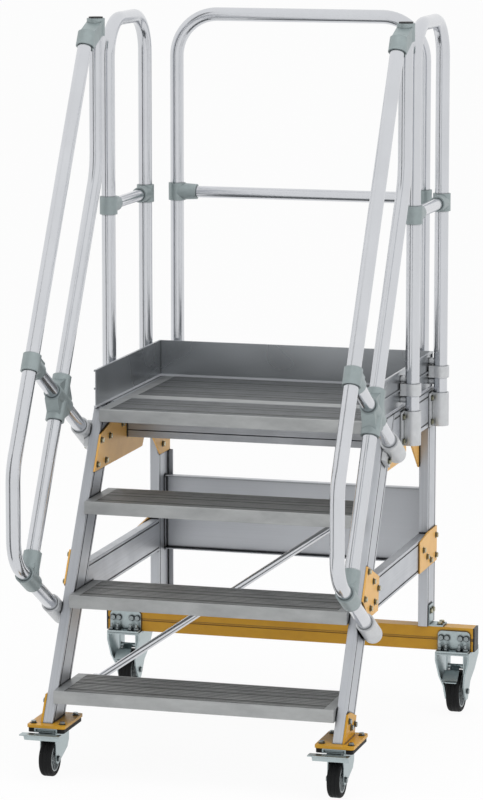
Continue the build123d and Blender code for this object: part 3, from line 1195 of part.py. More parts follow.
# ---------------------------------------------------------------- rear castors
def rear_housing():
    """Right rear housing: folded plate that tapers in to the axle."""
    x, y = REAR_CASTOR_X, REAR_CASTOR_Y
    half, t = HOUSING_WIDTH / 2, HOUSING_SHEET
    foot_outer = REAR_FORK_OUTER + t
    bend_low = HOUSING_NARROW_HEIGHT
    outline = [
        (-half, HOUSING_TOP), (half, HOUSING_TOP), (half, HOUSING_BEND_HEIGHT),
        (foot_outer, bend_low), (foot_outer, HOUSING_FOOT), (foot_outer - t, HOUSING_FOOT),
        (foot_outer - t, bend_low), (half - t, HOUSING_BEND_HEIGHT), (half - t, HOUSING_UNDERSIDE),
        (t - half, HOUSING_UNDERSIDE), (t - half, HOUSING_BEND_HEIGHT), (t - foot_outer, bend_low),
        (t - foot_outer, HOUSING_FOOT), (-foot_outer, HOUSING_FOOT), (-foot_outer, bend_low),
        (-half, HOUSING_BEND_HEIGHT),
    ]
    depth = HOUSING_DEPTH
    face = make_face(Polyline(*[(x + px, y - depth / 2, pz) for px, pz in outline], close=True))
    body = extrude(face, amount=depth, dir=(0, 1, 0))
    foot = HOUSING_FOOT_DEPTH / 2
    side_view = [
        (y - depth / 2, HOUSING_TOP), (y - depth / 2, HOUSING_SHOULDER), (y - foot, HOUSING_FOOT + 14),
        (y - foot + 12, HOUSING_FOOT), (y + foot - 12, HOUSING_FOOT), (y + foot, HOUSING_FOOT + 14),
        (y + depth / 2, HOUSING_SHOULDER), (y + depth / 2, HOUSING_TOP),
    ]
    body &= plate_yz(side_view, x - half, x + half)
    bore = AXLE_RADIUS + AXLE_CLEARANCE
    body -= rod((x - LONG, y, REAR_WHEEL_RADIUS), (x + LONG, y, REAR_WHEEL_RADIUS), bore)
    return drilled(body, housing_holes(), HOUSING_TOP_THICKNESS + ANGLE_SHEET + 1)


def rear_fork():
    """Inner fork of the right rear castor, with the pedal pin across its legs."""
    x, y = REAR_CASTOR_X, REAR_CASTOR_Y
    half = REAR_FORK_DEPTH / 2
    bottom = REAR_WHEEL_RADIUS - half * 0.8
    fork = span(x - REAR_FORK_OUTER, x + REAR_FORK_OUTER, y - half, y + half, bottom, HOUSING_UNDERSIDE)
    fork -= span(
        x - REAR_FORK_INNER, x + REAR_FORK_INNER, y - half - 1, y + half + 1, bottom - 1,
        HOUSING_UNDERSIDE - REAR_FORK_SHEET,
    )
    pin_y, pin_z = REAR_PEDAL_PIN
    fork += rod((x - REAR_FORK_OUTER, pin_y, pin_z), (x + REAR_FORK_OUTER, pin_y, pin_z), PEDAL_PIN_RADIUS)
    bore = AXLE_RADIUS + AXLE_CLEARANCE
    return fork - rod((x - LONG, y, REAR_WHEEL_RADIUS), (x + LONG, y, REAR_WHEEL_RADIUS), bore)


def housing_holes():
    """Vertical bolts through angle and housing, in front of and behind the beam."""
    holes = []
    for y in (BEAM_FRONT - ANGLE_REACH / 2 - 4, BEAM_REAR + ANGLE_REACH / 2 + 4):
        for offset in ANGLE_BOLT_SPREAD:
            holes.append(((REAR_CASTOR_X + offset, y, BEAM_BOTTOM + ANGLE_SHEET), (0, 0, 1)))
    return holes


def angle_face(direction):
    """Y of the beam's front (-1) or rear (1) face."""
    return BEAM_FRONT if direction < 0 else BEAM_REAR


def angle_wall_holes(direction):
    """Level bolts through an angle's wall."""
    y = angle_face(direction) + direction * ANGLE_SHEET
    z = BEAM_BOTTOM + ANGLE_BOLT_HEIGHT
    return [((REAR_CASTOR_X + offset, y, z), (0, direction, 0)) for offset in ANGLE_BOLT_SPREAD]


def angle_bracket(direction):
    """Angle on the beam's front (-1) or rear (1) face, over the castor housing."""
    x, t = REAR_CASTOR_X, ANGLE_SHEET
    half = ANGLE_WIDTH / 2
    face_y = angle_face(direction)
    plane = Plane(origin=(x, face_y, BEAM_BOTTOM), x_dir=(1, 0, 0), z_dir=(0, -1, 0))
    outline = Rectangle(ANGLE_WIDTH, BEAM_HEIGHT - ANGLE_INSET, align=(Align.CENTER, Align.MIN))
    outline = fillet(outline.vertices().group_by(Axis.Y)[-1], ANGLE_CORNER)
    wall = extrude(plane * outline, -direction * t)
    y0, y1 = sorted((face_y, face_y + direction * ANGLE_REACH))
    base = span(x - half, x + half, y0, y1, BEAM_BOTTOM, BEAM_BOTTOM + t)
    return drilled(wall + base, housing_holes() + angle_wall_holes(direction), ANGLE_SHEET)


# ---------------------------------------------------------------- assembly
def frame_parts():
    parts = {}
    for side, name in ((LEFT, "left"), (RIGHT, "right")):
        parts[f"stringer_{name}"] = [on_side(stringer(), side)]
        parts[f"guard_hoop_{name}"] = [on_side(guard_hoop(), side)]
        parts[f"handrail_{name}"] = [on_side(handrail(), side)]
        parts[f"knee_rail_{name}"] = [on_side(knee_rail(), side)]
    for number, name in ((1, "lower"), (2, "middle"), (3, "upper")):
        parts[f"tread_{name}"] = [tread(number)]
    parts["deck_plank_front"] = [front_plank()]
    parts["deck_plank_rear"] = [rear_plank()]
    parts["platform_side_beams"] = both_sides(side_beam())
    parts["platform_cross_beams"] = platform_cross_beams()
    parts["side_toe_boards"] = both_sides(side_toe_board())
    parts["rear_toe_board"] = [rear_toe_board()]
    parts["rear_legs"] = both_sides(rear_leg())
    parts["side_rails"] = both_sides(side_rail())
    parts["rear_panel"] = [rear_panel()]
    parts["diagonal_brace"] = [diagonal_brace()]
    parts["rear_cross_beam"] = [rear_beam()]
    parts["end_caps"] = both_sides(beam_end_cap()) + both_sides(top_plug())
    parts["upper_gussets"] = both_sides(upper_front_gusset()) + both_sides(upper_rear_gusset())
    parts["lower_gussets"] = both_sides(lower_front_gusset()) + both_sides(lower_rear_gusset())
    parts["leg_cleats"] = both_sides(leg_cleat())
    return parts


def rail_parts():
    parts = {}
    parts["rear_guardrail"] = [rear_guardrail()]
    parts["mid_rails"] = mid_rails()
    parts["guardrail_tees"] = guardrail_tees()
    parts["post_brackets"] = post_brackets()
    sleeves = []
    for y in (HOOP_FRONT, HOOP_REAR):
        for piece in sleeve_with_spacers(RAIL_CENTRE_X, y, TOE_OUTER_X + TOE_RIB_DEPTH, "x"):
            sleeves += both_sides(piece)
    rear_board = TOE_BOARD_REAR + TOE_RIB_DEPTH
    for piece in sleeve_with_spacers(REAR_RAIL_HALF_WIDTH, REAR_POST_Y, rear_board, "y"):
        sleeves += both_sides(piece)
    parts["post_sleeves"] = sleeves
    parts["cross_tubes"] = cross_tubes()
    clamps = []
    for clamp in (handrail_clamp(), cross_clamp(), lower_clamp()):
        clamps += both_sides(clamp)
    parts["rail_clamps"] = clamps
    parts["top_joints"] = both_sides(top_joint())
    sockets = []
    for socket in (flanged_socket(UPPER_TIE_DOWN), stringer_socket(LOWER_TIE_DOWN)):
        sockets += both_sides(socket)
    parts["stringer_sockets"] = sockets
    return parts


def castor_parts():
    parts = {}
    parts["foot_plates"] = both_sides(foot_plate())
    parts["foot_pads"] = both_sides(foot_pad())
    parts["castor_heads"] = both_sides(castor_head())
    for side, name in ((LEFT, "left"), (RIGHT, "right")):
        x = side * FOOT_CENTRE_X
        y, z = FRONT_AXLE_Y, FRONT_WHEEL_RADIUS
        parts[f"front_fork_{name}"] = [front_fork(x)]
        parts[f"front_axle_{name}"] = [axle(x, y, z, FORK_OUTER)]
        hub_half = FORK_INNER - RACE_GAP
        hub = wheel_hub(x, y, z, FRONT_WHEEL_RADIUS, FRONT_WHEEL_WIDTH, hub_half)
        parts[f"front_hub_{name}"] = [hub]
        parts[f"front_tyre_{name}"] = [tyre(x, y, z, FRONT_WHEEL_RADIUS, FRONT_WHEEL_WIDTH)]
        parts[f"front_pedal_{name}"] = [front_pedal(x)]
        x = side * REAR_CASTOR_X
        y, z = REAR_CASTOR_Y, REAR_WHEEL_RADIUS
        hub_half = REAR_FORK_INNER - RACE_GAP
        hub = wheel_hub(x, y, z, REAR_WHEEL_RADIUS, REAR_WHEEL_WIDTH, hub_half)
        parts[f"rear_hub_{name}"] = [hub]
        parts[f"rear_tyre_{name}"] = [tyre(x, y, z, REAR_WHEEL_RADIUS, REAR_WHEEL_WIDTH)]
        parts[f"rear_pedal_{name}"] = [rear_pedal(x)]
    parts["rear_housings"] = both_sides(rear_housing())
    parts["rear_forks"] = both_sides(rear_fork())
    parts["angle_brackets"] = both_sides(angle_bracket(-1)) + both_sides(angle_bracket(1))
    rear_grip = REAR_FORK_OUTER + HOUSING_SHEET
    parts["rear_axles"] = both_sides(axle(REAR_CASTOR_X, REAR_CASTOR_Y, REAR_WHEEL_RADIUS, rear_grip))
    return parts


def fasteners():
    frame = bolts(UPPER_FRONT_HOLES + UPPER_REAR_HOLES + LOWER_FRONT_HOLES, GUSSET_THICKNESS)
    frame += bolts(LOWER_REAR_HOLES, GUSSET_THICKNESS)
    frame += bolts(CLEAT_SIDE_HOLES + CLEAT_BASE_HOLES, CLEAT_THICKNESS)
    frame += bolts(BRACKET_HOLES, BRACKET_FLANGE)
    frame += bolts([socket_bolt_hole(UPPER_TIE_DOWN)], SOCKET_FLANGE)
    castor = bolts(FOOT_TAB_HOLES, FOOT_TAB_THICKNESS) + bolts(FOOT_BOLT_HOLES, FOOT_PLATE_THICKNESS)
    castor += bolts(housing_holes(), ANGLE_SHEET + HOUSING_TOP_THICKNESS, STUD_LENGTH)
    castor += bolts(angle_wall_holes(-1) + angle_wall_holes(1), ANGLE_SHEET)
    parts = {"frame_bolts": [], "castor_bolts": []}
    for name, group in (("frame_bolts", frame), ("castor_bolts", castor)):
        for item in group:
            parts[name] += both_sides(item)
    return parts


def solids_of(shapes):
    found = []
    for shape in shapes:
        found += shape.solids()
    return found


def write(parts):
    os.makedirs("parts", exist_ok=True)
    for name, shapes in parts.items():
        moved = [Pos(0, CENTRE_SHIFT, 0) * solid for solid in solids_of(shapes)]
        if len(moved) == 1:
            export_step(moved[0], f"parts/{name}.step")
        else:
            export_step(Compound(children=moved, label=name), f"parts/{name}.step")
    print(len(parts), "nodes, Y moved by", round(CENTRE_SHIFT, 3))


write({**frame_parts(), **rail_parts(), **castor_parts(), **fasteners()})
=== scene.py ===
"""Finishes and studio for a mobile ladder stand.

The stand's construction is loaded as a fixed frame. This file gives every part its
finish, models the wheels and the end covers of the treads as pieces of their own, and
sets up the floor, the light and the camera.
"""
import math

import bmesh
import bpy
from mathutils import Matrix, Vector


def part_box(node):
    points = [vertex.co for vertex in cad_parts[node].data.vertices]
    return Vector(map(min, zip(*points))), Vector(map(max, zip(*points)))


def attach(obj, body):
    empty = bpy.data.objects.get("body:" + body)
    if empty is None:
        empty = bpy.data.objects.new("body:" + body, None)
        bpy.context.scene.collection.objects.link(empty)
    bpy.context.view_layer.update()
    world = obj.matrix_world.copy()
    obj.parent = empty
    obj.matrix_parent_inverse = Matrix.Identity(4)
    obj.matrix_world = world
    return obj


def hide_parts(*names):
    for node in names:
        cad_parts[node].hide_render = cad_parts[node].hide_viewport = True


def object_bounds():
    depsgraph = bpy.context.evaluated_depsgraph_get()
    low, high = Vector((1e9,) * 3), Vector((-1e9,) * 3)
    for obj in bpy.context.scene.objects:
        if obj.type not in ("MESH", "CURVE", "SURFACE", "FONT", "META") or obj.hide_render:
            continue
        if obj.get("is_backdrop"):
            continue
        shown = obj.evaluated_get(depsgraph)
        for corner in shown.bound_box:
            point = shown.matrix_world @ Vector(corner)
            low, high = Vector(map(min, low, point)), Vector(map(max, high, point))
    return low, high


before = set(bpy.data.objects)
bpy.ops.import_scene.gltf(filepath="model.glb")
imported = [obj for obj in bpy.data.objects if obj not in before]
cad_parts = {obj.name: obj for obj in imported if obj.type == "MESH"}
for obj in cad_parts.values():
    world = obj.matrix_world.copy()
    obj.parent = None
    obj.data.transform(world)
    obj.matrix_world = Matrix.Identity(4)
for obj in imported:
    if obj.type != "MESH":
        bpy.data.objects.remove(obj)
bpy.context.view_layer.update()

bl_info = {
    "name": "Ladder Stand Finishes",
    "version": (1, 0, 0),
    "blender": (4, 5, 0),
    "location": "View3D > Sidebar > Stand",
    "description": "Finishes, wheels, tread end covers and studio for a mobile ladder stand",
    "category": "Object",
}

MM = 0.001
SIDES = ("left", "right")
SPREAD = (0.3, 0.7)         # where most values of a noise lie

# The treads and planks, in millimetres.
TREAD_CELLS = 3             # hollow cells of a tread, from front to back
TREAD_END_STRIP = 28.5      # plain strip at each end of the ribbed top
TREAD_NOSE = 6.0            # plain strip along the front edge
REAR_PLANK_STRIP = 54.0     # plain strip along the rear plank's front edge
TOE_BOARD_LIP = 7.0         # bare lip at the foot of a toe board

# The wheels, in millimetres.
TYRE_THICKNESS = 13.8
AXLE_BORE = 5.2
BOSS_RADIUS = 13
BOSS_EDGE = 1.5
WEB_HALF = 4
RIM_WALL = 4
RIM_EDGE = 0.6
RIB_THICKNESS = 2.4
WHEEL_RIBS = 8
RIM_SHARE = 0.93            # of the tyre's width

# Which finish each node of the frame has. The extrusions are listed by the way they run,
# because die lines follow the length of the bar.
BARS_ACROSS = ("platform_cross_beams",)
BARS_ALONG = ("platform_side_beams", "side_rails")
BARS_UPRIGHT = ("rear_legs",)
BARS_SLOPING = ("stringer_left", "stringer_right")
BOARDS_ACROSS = ("rear_toe_board",)
BOARDS_ALONG = ("side_toe_boards",)
TREADS = ("tread_lower", "tread_middle", "tread_upper", "deck_plank_front", "deck_plank_rear")
TUBES = (
    "guard_hoop_left", "guard_hoop_right", "rear_guardrail", "mid_rails", "handrail_left",
    "handrail_right", "knee_rail_left", "knee_rail_right", "cross_tubes", "diagonal_brace",
)
CASTINGS = ("guardrail_tees", "rail_clamps", "top_joints")
POST_SEATS = ("post_brackets", "post_sleeves", "stringer_sockets")
COATED_BEAMS = ("rear_cross_beam", "foot_plates")
GUSSETS = ("upper_gussets", "lower_gussets")
PRESSED_STEEL = (
    "leg_cleats", "castor_heads", "front_fork_left", "front_fork_right", "front_pedal_left",
    "front_pedal_right", "rear_housings", "rear_forks", "rear_pedal_left", "rear_pedal_right",
    "angle_brackets",
)
FASTENERS = ("castor_bolts", "front_axle_left", "front_axle_right", "rear_axles")


# ------------------------------------------------------------------ small tools
def linear(code):
    """Linear colour from an sRGB hex code such as "C8CBD0"."""
    parts = [int(code[i : i + 2], 16) / 255 for i in (0, 2, 4)]
    return tuple(c / 12.92 if c <= 0.04045 else ((c + 0.055) / 1.055) ** 2.4 for c in parts) + (1.0,)


def shade(colour, share):
    """That share of a colour's brightness."""
    return tuple(c * share for c in colour[:3]) + (1.0,)


def add_node(tree, kind, settings=None, inputs=None):
    """Adds a shader node; an input is a value, or another node's output to link."""
    made = tree.nodes.new("ShaderNode" + kind)
    for name, value in (settings or {}).items():
        setattr(made, name, value)
    for name, value in (inputs or {}).items():
        if isinstance(value, bpy.types.NodeSocket):
            tree.links.new(value, made.inputs[name])
        else:
            made.inputs[name].default_value = value
    return made


def new_material(name):
    """Empty node material, and its tree."""
    material = bpy.data.materials.new(name)
    material.use_nodes = True
    material.node_tree.nodes.clear()
    return material, material.node_tree


def finish_surface(tree, pattern, roughness, inputs, spread=SPREAD):
    """Adds the surface shader and the output. The roughness drifts with a pattern, from the
    first value given to the second."""
    gloss = add_node(tree, "MapRange", inputs={
        "Value": pattern, "From Min": spread[0], "From Max": spread[1],
        "To Min": roughness[0], "To Max": roughness[1],
    })
    surface = add_node(tree, "BsdfPrincipled", inputs={**inputs, "Roughness": gloss.outputs["Result"]})
    add_node(tree, "OutputMaterial", inputs={"Surface": surface.outputs["BSDF"]})


def grain(tree, size, detail=4.0, roughness=0.6, turn=(0.0, 0.0, 0.0)):
    """Noise whose blotches measure size (x, y, z) in millimetres."""
    place = add_node(tree, "TexCoord").outputs["Object"]
    scale = tuple(1.0 / (s * MM) for s in size)
    turned = add_node(tree, "Mapping", {"vector_type": "TEXTURE"}, {"Vector": place, "Rotation": turn})
    scaled = add_node(tree, "VectorMath", {"operation": "MULTIPLY"}, {0: turned.outputs[0], 1: scale})
    noise = add_node(tree, "TexNoise", inputs={
        "Vector": scaled.outputs[0], "Scale": 1.0, "Detail": detail, "Roughness": roughness,
    })
    return noise.outputs["Fac"]


def drifting(tree, pattern, first, second, spread=SPREAD, most=1.0):
    """Colour that drifts with a pattern from first to second, by the share most at the end."""
    share = add_node(tree, "MapRange", inputs={
        "Value": pattern, "From Min": spread[0], "From Max": spread[1], "To Min": 0.0, "To Max": most,
    })
    mix = add_node(tree, "Mix", {"data_type": "RGBA"}, {"Factor": share.outputs[0], 6: first, 7: second})
    return mix.outputs[2]


def painted_shade_and_dirt(tree, tone, shade_and_dirt_colour="1E2022", reach=7.0, spread=(0.76, 0.97)):
    """Painted shade, with some grime: darkens slots, grooves, seams and the corners where parts meet. The
    reach is in millimetres, and the spread is how open a point is: 0 in a deep corner, 1 when free."""
    sky = add_node(tree, "AmbientOcclusion", {"samples": 6}, {"Distance": reach * MM})
    return drifting(tree, sky.outputs["AO"], linear(shade_and_dirt_colour), tone, spread)


def painted_inner_shade(tree, tone, share):
    """Painted shade: darkens faces that look into the structure, by a share at the most."""
    sky = add_node(tree, "AmbientOcclusion", {"samples": 6}, {"Distance": 320.0 * MM})
    level = add_node(tree, "MapRange", inputs={
        "Value": sky.outputs["AO"], "From Min": 0.30, "From Max": 0.85, "To Min": 1.0 - share, "To Max": 1.0,
    })
    inner_shaded_tone = add_node(tree, "VectorMath", {"operation": "SCALE"}, {0: tone, "Scale": level.outputs["Result"]})
    return inner_shaded_tone.outputs[0]


def relief(tree, height, depth, edge=0.8):
    """Normal for a height pattern of that depth, over edges rounded by edge, in millimetres."""
    rounded = add_node(tree, "Bevel", {"samples": 4}, {"Radius": edge * MM})
    bump = add_node(tree, "Bump", inputs={
        "Height": height, "Distance": depth * MM, "Strength": 1.0, "Normal": rounded.outputs[0],
    })
    return bump.outputs[0]


def dress(names, material):
    """Gives CAD nodes a finish."""
    for name in names:
        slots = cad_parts[name].material_slots
        if not slots:
            raise RuntimeError(f"{name} has no material slot")
        for slot in slots:
            slot.material = material


def add_piece(name, mesh_data, material, body):
    """Puts a finished mesh in the scene as a piece that rides on a body."""
    mesh = bpy.data.meshes.new(name)
    mesh_data.to_mesh(mesh)
    mesh_data.free()
    mesh.materials.append(material)
    piece = bpy.data.objects.new(name, mesh)
    bpy.context.scene.collection.objects.link(piece)
    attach(piece, body)
    return piece


def smooth(mesh_data, angle=35.0):
    """Smooth faces with hard edges where they meet more sharply than the angle."""
    for face in mesh_data.faces:
        face.smooth = True
    for edge in mesh_data.edges:
        if len(edge.link_faces) == 2:
            edge.smooth = edge.calc_face_angle() < math.radians(angle)


def lathe(mesh_data, profile, centre, steps=72):
    """Adds a ring turned from (along, radius) points, in metres, round an axis along X."""
    place = Matrix.Translation(centre)
    rows = []
    for step in range(steps):
        angle = 2 * math.pi * step / steps
        rows.append([
            mesh_data.verts.new(place @ Vector((along, radius * math.cos(angle), radius * math.sin(angle))))
            for along, radius in profile
        ])
    for step in range(steps):
        here, there = rows[step], rows[(step + 1) % steps]
        for k in range(len(profile)):
            after = (k + 1) % len(profile)
            mesh_data.faces.new((here[k], here[after], there[after], there[k]))


def shoulder_points(half, radius, corner, points=5):
    """(along, radius) points of a tyre's rounded shoulder, from the crown to the side."""
    arc = []
    for k in range(points):
        angle = math.pi / 2 * k / (points - 1)
        arc.append((half - corner + corner * math.sin(angle), radius - corner + corner * math.cos(angle)))
    return arc


# ------------------------------------------------------------------ settings
def finish_colour(name, description, code):
    """Colour setting whose default is an sRGB hex code."""
    return bpy.props.FloatVectorProperty(
        name=name, description=description, subtype="COLOR", size=4, min=0, max=1, default=linear(code),
    )


class StandFinishes(bpy.types.PropertyGroup):
    """Colours of the finishes."""

    aluminium: finish_colour("Extruded aluminium", "Mill-finished bars", "C8CBD0")
    deck: finish_colour("Deck ribs", "Grooved surface of the platform", "828587")
    tread: finish_colour("Tread ribs", "Grooved surfaces of the steps", "A0A19F")
    nosing: finish_colour("Nosings", "Plain fronts and strips of the treads", "B4B6B6")
    toe_board: finish_colour("Toe boards", "Grey anodised boards", "B4B8BC")
    tube: finish_colour("Drawn tube", "Bright aluminium rail tube", "D2D4D8")
    casting: finish_colour("Castings", "Blasted cast fittings", "9EA9AA")
    seat: finish_colour("Post seats", "Light cast brackets, sleeves and sockets", "D2D4D6")
    coating: finish_colour("Coated beam", "Ochre powder coating", "D39D1E")
    # Painted light: the gussets' colour is the ochre coat painted lighter, as it looks where light falls on
    # it.
    gusset_lit_ochre: finish_colour("Coated gussets", "Ochre powder coating painted lit", "EFBA62")
    zinc: finish_colour("Zinc plate", "Zinc-plated pressed steel", "B6C2C4")
    tyre: finish_colour("Tyre", "Solid rubber tyre", "151617")
    rim: finish_colour("Wheel centre", "Moulded grey wheel centre", "9CA3A5")


class StandSizes(bpy.types.PropertyGroup):
    """Sizes of the pieces that this file models."""

    tread_depth: bpy.props.FloatProperty(
        name="Tyre groove", description="Depth of the grooves in a tyre", unit="LENGTH", min=0,
        default=0.8 * MM,
    )


class StandStudio(bpy.types.PropertyGroup):
    """Camera and light."""

    azimuth: bpy.props.FloatProperty(
        name="Azimuth", description="Camera direction, from the front towards the right", subtype="ANGLE",
        default=math.radians(16.063),
    )
    elevation: bpy.props.FloatProperty(
        name="Elevation", description="Camera height angle", subtype="ANGLE", default=math.radians(8.94),
    )
    distance: bpy.props.FloatProperty(
        name="Distance", description="From the camera to its target", unit="LENGTH", default=10.660,
    )
    lens: bpy.props.FloatProperty(name="Lens", description="Focal length in millimetres", default=166.97)
    top_light: bpy.props.FloatProperty(name="Top light", description="Power in watts", default=70.0)
    side_light: bpy.props.FloatProperty(name="Side light", description="Power in watts", default=45.0)
    fill_light: bpy.props.FloatProperty(name="Fill light", description="Power in watts", default=18.0)
    ambient: bpy.props.FloatProperty(name="Ambient", description="Strength of the room's light", default=0.62)


# ------------------------------------------------------------------ materials
def extruded_aluminium(name, colour, along, turn=(0.0, 0.0, 0.0), roughness=0.42, streak=0.14):
    """Mill-finished extruded aluminium: die lines along the bar, so highlights stretch across it.
    The real lines are 0.2 mm apart; they are drawn 3 mm apart so that they show."""
    material, tree = new_material(name)
    lines = grain(tree, tuple(420.0 if axis == along else 3.0 for axis in "XYZ"), detail=3.0, turn=turn)
    patches = grain(tree, (60.0, 60.0, 60.0), detail=2.0)
    tone = drifting(tree, lines, shade(colour, 1.0 - streak), tuple(colour))
    finish_surface(tree, patches, (roughness - 0.05, roughness + 0.06), {
        # The colour carries painted shade: it is darker on faces that look into the structure, and in slots,
        # seams and the corners where parts meet.
        "Base Color": painted_shade_and_dirt(tree, painted_inner_shade(tree, tone, 0.35)),
        "Metallic": 0.9,
        "Normal": relief(tree, lines, 0.03),
    })
    return material


def brushed_board(name, colour, along, bright, foot):
    """Brushed and grey-anodised toe board: long fine lines, gloss that changes in soft clouds from handling,
    the same clouds painted into the colour as broad reflections, and a bare bright lip along its foot, below
    the height given."""
    material, tree = new_material(name)
    lines = grain(tree, tuple(420.0 if axis == along else 3.0 for axis in "XYZ"), detail=3.0)
    clouds = grain(tree, (260.0, 200.0, 150.0), detail=1.0)
    wide = (0.15, 0.85)
    # Painted reflection: broad clouds lighten and darken the colour. Painted shade darkens the slots and
    # seams.
    tone = painted_shade_and_dirt(tree, drifting(tree, clouds, shade(colour, 0.62), tuple(colour), wide), spread=(0.45, 0.70))
    place = add_node(tree, "TexCoord").outputs["Object"]
    height = add_node(tree, "SeparateXYZ", inputs={"Vector": place}).outputs["Z"]
    lip = add_node(tree, "Math", {"operation": "LESS_THAN"}, {0: height, 1: foot}).outputs[0]
    base = add_node(tree, "Mix", {"data_type": "RGBA"}, {"Factor": lip, 6: tone, 7: tuple(bright)})
    metallic = add_node(tree, "MapRange", inputs={"Value": lip, "To Min": 0.9, "To Max": 0.1})
    finish_surface(tree, clouds, (0.24, 0.34), {
        "Base Color": base.outputs[2],
        "Metallic": metallic.outputs["Result"],
        "Normal": relief(tree, lines, 0.03),
    }, wide)
    return material


def ribbed_aluminium(name, colour, plain, front, nose):
    """Extruded tread: the grooved top is duller and darker than the plain nose and end strips,
    because grime and oxide stay between the ribs. Every second or third groove is a deeper one,
    drawn as a dark line of painted shade across the tread every 38 mm, 6 mm wide so that it shows."""
    material, tree = new_material(name)
    pitch, line = 38.0, 6.0
    lines = grain(tree, (420.0, 2.5, 2.5), detail=3.0)
    wear = grain(tree, (90.0, 40.0, 40.0), detail=4.0)
    place = add_node(tree, "TexCoord").outputs["Object"]
    spot = add_node(tree, "SeparateXYZ", inputs={"Vector": place})
    middle = add_node(tree, "Math", {"operation": "ABSOLUTE"}, {0: spot.outputs["X"]}).outputs[0]
    inner_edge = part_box("tread_lower")[1].x - TREAD_END_STRIP * MM
    ribbed = add_node(tree, "Math", {"operation": "LESS_THAN"}, {0: middle, 1: inner_edge}).outputs[0]
    facing = add_node(tree, "NewGeometry").outputs["True Normal"]
    upward = add_node(tree, "SeparateXYZ", inputs={"Vector": facing}).outputs["Z"]
    top = add_node(tree, "Math", {"operation": "GREATER_THAN"}, {0: upward, 1: 0.5}).outputs[0]
    level = add_node(tree, "Math", {"operation": "MULTIPLY"}, {0: ribbed, 1: top}).outputs[0]
    behind = add_node(tree, "Math", {"operation": "SUBTRACT"}, {0: spot.outputs["Y"], 1: front}).outputs[0]
    past_nose = add_node(tree, "Math", {"operation": "GREATER_THAN"}, {0: behind, 1: nose}).outputs[0]
    worn = add_node(tree, "Math", {"operation": "MULTIPLY"}, {0: level, 1: past_nose}).outputs[0]
    # Painted shade: each deeper groove is drawn as a dark line across the tread, 6 mm wide every 38 mm.
    counted = add_node(tree, "Math", {"operation": "DIVIDE"}, {0: behind, 1: pitch * MM}).outputs[0]
    phase = add_node(tree, "Math", {"operation": "FRACT"}, {0: counted}).outputs[0]
    groove = add_node(tree, "Math", {"operation": "GREATER_THAN"}, {0: phase, 1: 1.0 - line / pitch})
    grooved = add_node(
        tree, "Mix", {"data_type": "RGBA"},
        {"Factor": groove.outputs[0], 6: tuple(colour), 7: linear("1C1D1E")},
    )
    tone = add_node(
        tree, "Mix", {"data_type": "RGBA"}, {"Factor": worn, 6: tuple(plain), 7: grooved.outputs[2]}
    )
    dusty = drifting(tree, wear, tone.outputs[2], linear("5C5D60"), most=0.22)
    finish_surface(tree, wear, (0.42, 0.56), {
        # The colour carries painted shade: it is darker on faces that look into the structure, and in slots,
        # seams and the corners where parts meet.
        "Base Color": painted_shade_and_dirt(tree, painted_inner_shade(tree, dusty, 0.20), "3A3C3E", 5.0, (0.30, 0.75)),
        "Metallic": 0.85,
        "Normal": relief(tree, lines, 0.03, edge=0.6),
    })
    return material


def drawn_tube(name, colour):
    """Drawn and clear-anodised aluminium tube: a clean satin that draws the room as soft stripes
    along the tube, with faint cloudy changes of gloss a hand's width apart."""
    material, tree = new_material(name)
    clouds = grain(tree, (90.0, 90.0, 160.0), detail=3.0)
    tone = drifting(tree, clouds, shade(colour, 0.94), tuple(colour))
    finish_surface(tree, clouds, (0.17, 0.21), {
        # Painted shade, with some grime, darkens the seams and corners where parts meet.
        "Base Color": painted_shade_and_dirt(tree, tone, "6A6E70", 7.0, (0.45, 0.82)),
        "Metallic": 1.0,
    })
    return material


def blasted_casting(name, colour):
    """Shot-blasted cast aluminium: an even grit that scatters light, drawn 1.2 mm coarse to show."""
    material, tree = new_material(name)
    grit = grain(tree, (1.2, 1.2, 1.2), detail=2.0)
    clouds = grain(tree, (22.0, 22.0, 22.0), detail=4.0)
    tone = drifting(tree, clouds, shade(colour, 0.88), tuple(colour))
    finish_surface(tree, grit, (0.36, 0.50), {
        # Painted shade, with some grime, darkens the seams and corners where parts meet.
        "Base Color": painted_shade_and_dirt(tree, tone, "4A5051", 6.0, (0.45, 0.84)),
        "Metallic": 0.6,
        "Normal": relief(tree, grit, 0.04, edge=1.4),
    })
    return material


def powder_coat(name, colour):
    """Powder-coated steel: orange-peel ripples about 2 mm across under a satin gloss."""
    material, tree = new_material(name)
    peel = grain(tree, (2.2, 2.2, 2.2), detail=1.0)
    clouds = grain(tree, (70.0, 70.0, 70.0), detail=3.0)
    deeper = (colour[0] * 0.90, colour[1] * 0.86, colour[2] * 0.80, 1.0)
    tone = drifting(tree, clouds, deeper, tuple(colour))
    finish_surface(tree, peel, (0.34, 0.44), {
        # Painted shade, with some grime, darkens the seams and corners where parts meet.
        "Base Color": painted_shade_and_dirt(tree, tone, "5A3C10", 6.0, (0.60, 0.94)),
        "Metallic": 0.0,
        "IOR": 1.5,
        "Normal": relief(tree, peel, 0.05, edge=1.0),
    })
    return material


def zinc_plate(name, colour, roughness=0.36):
    """Bright zinc plate on pressed steel: a cool metal with soft mottling from the passivation."""
    material, tree = new_material(name)
    mottle = grain(tree, (9.0, 9.0, 9.0), detail=5.0, roughness=0.7)
    fine = grain(tree, (1.5, 1.5, 1.5), detail=2.0)
    tone = drifting(tree, mottle, shade(colour, 0.84), tuple(colour), (0.32, 0.62))
    finish_surface(tree, mottle, (roughness - 0.06, roughness + 0.10), {
        # Painted shade, with some grime, darkens the seams and corners where parts meet.
        "Base Color": painted_shade_and_dirt(tree, tone, "23282A", 8.0, (0.55, 0.93)),
        "Metallic": 1.0,
        "Normal": relief(tree, fine, 0.02, edge=1.0),
    })
    return material


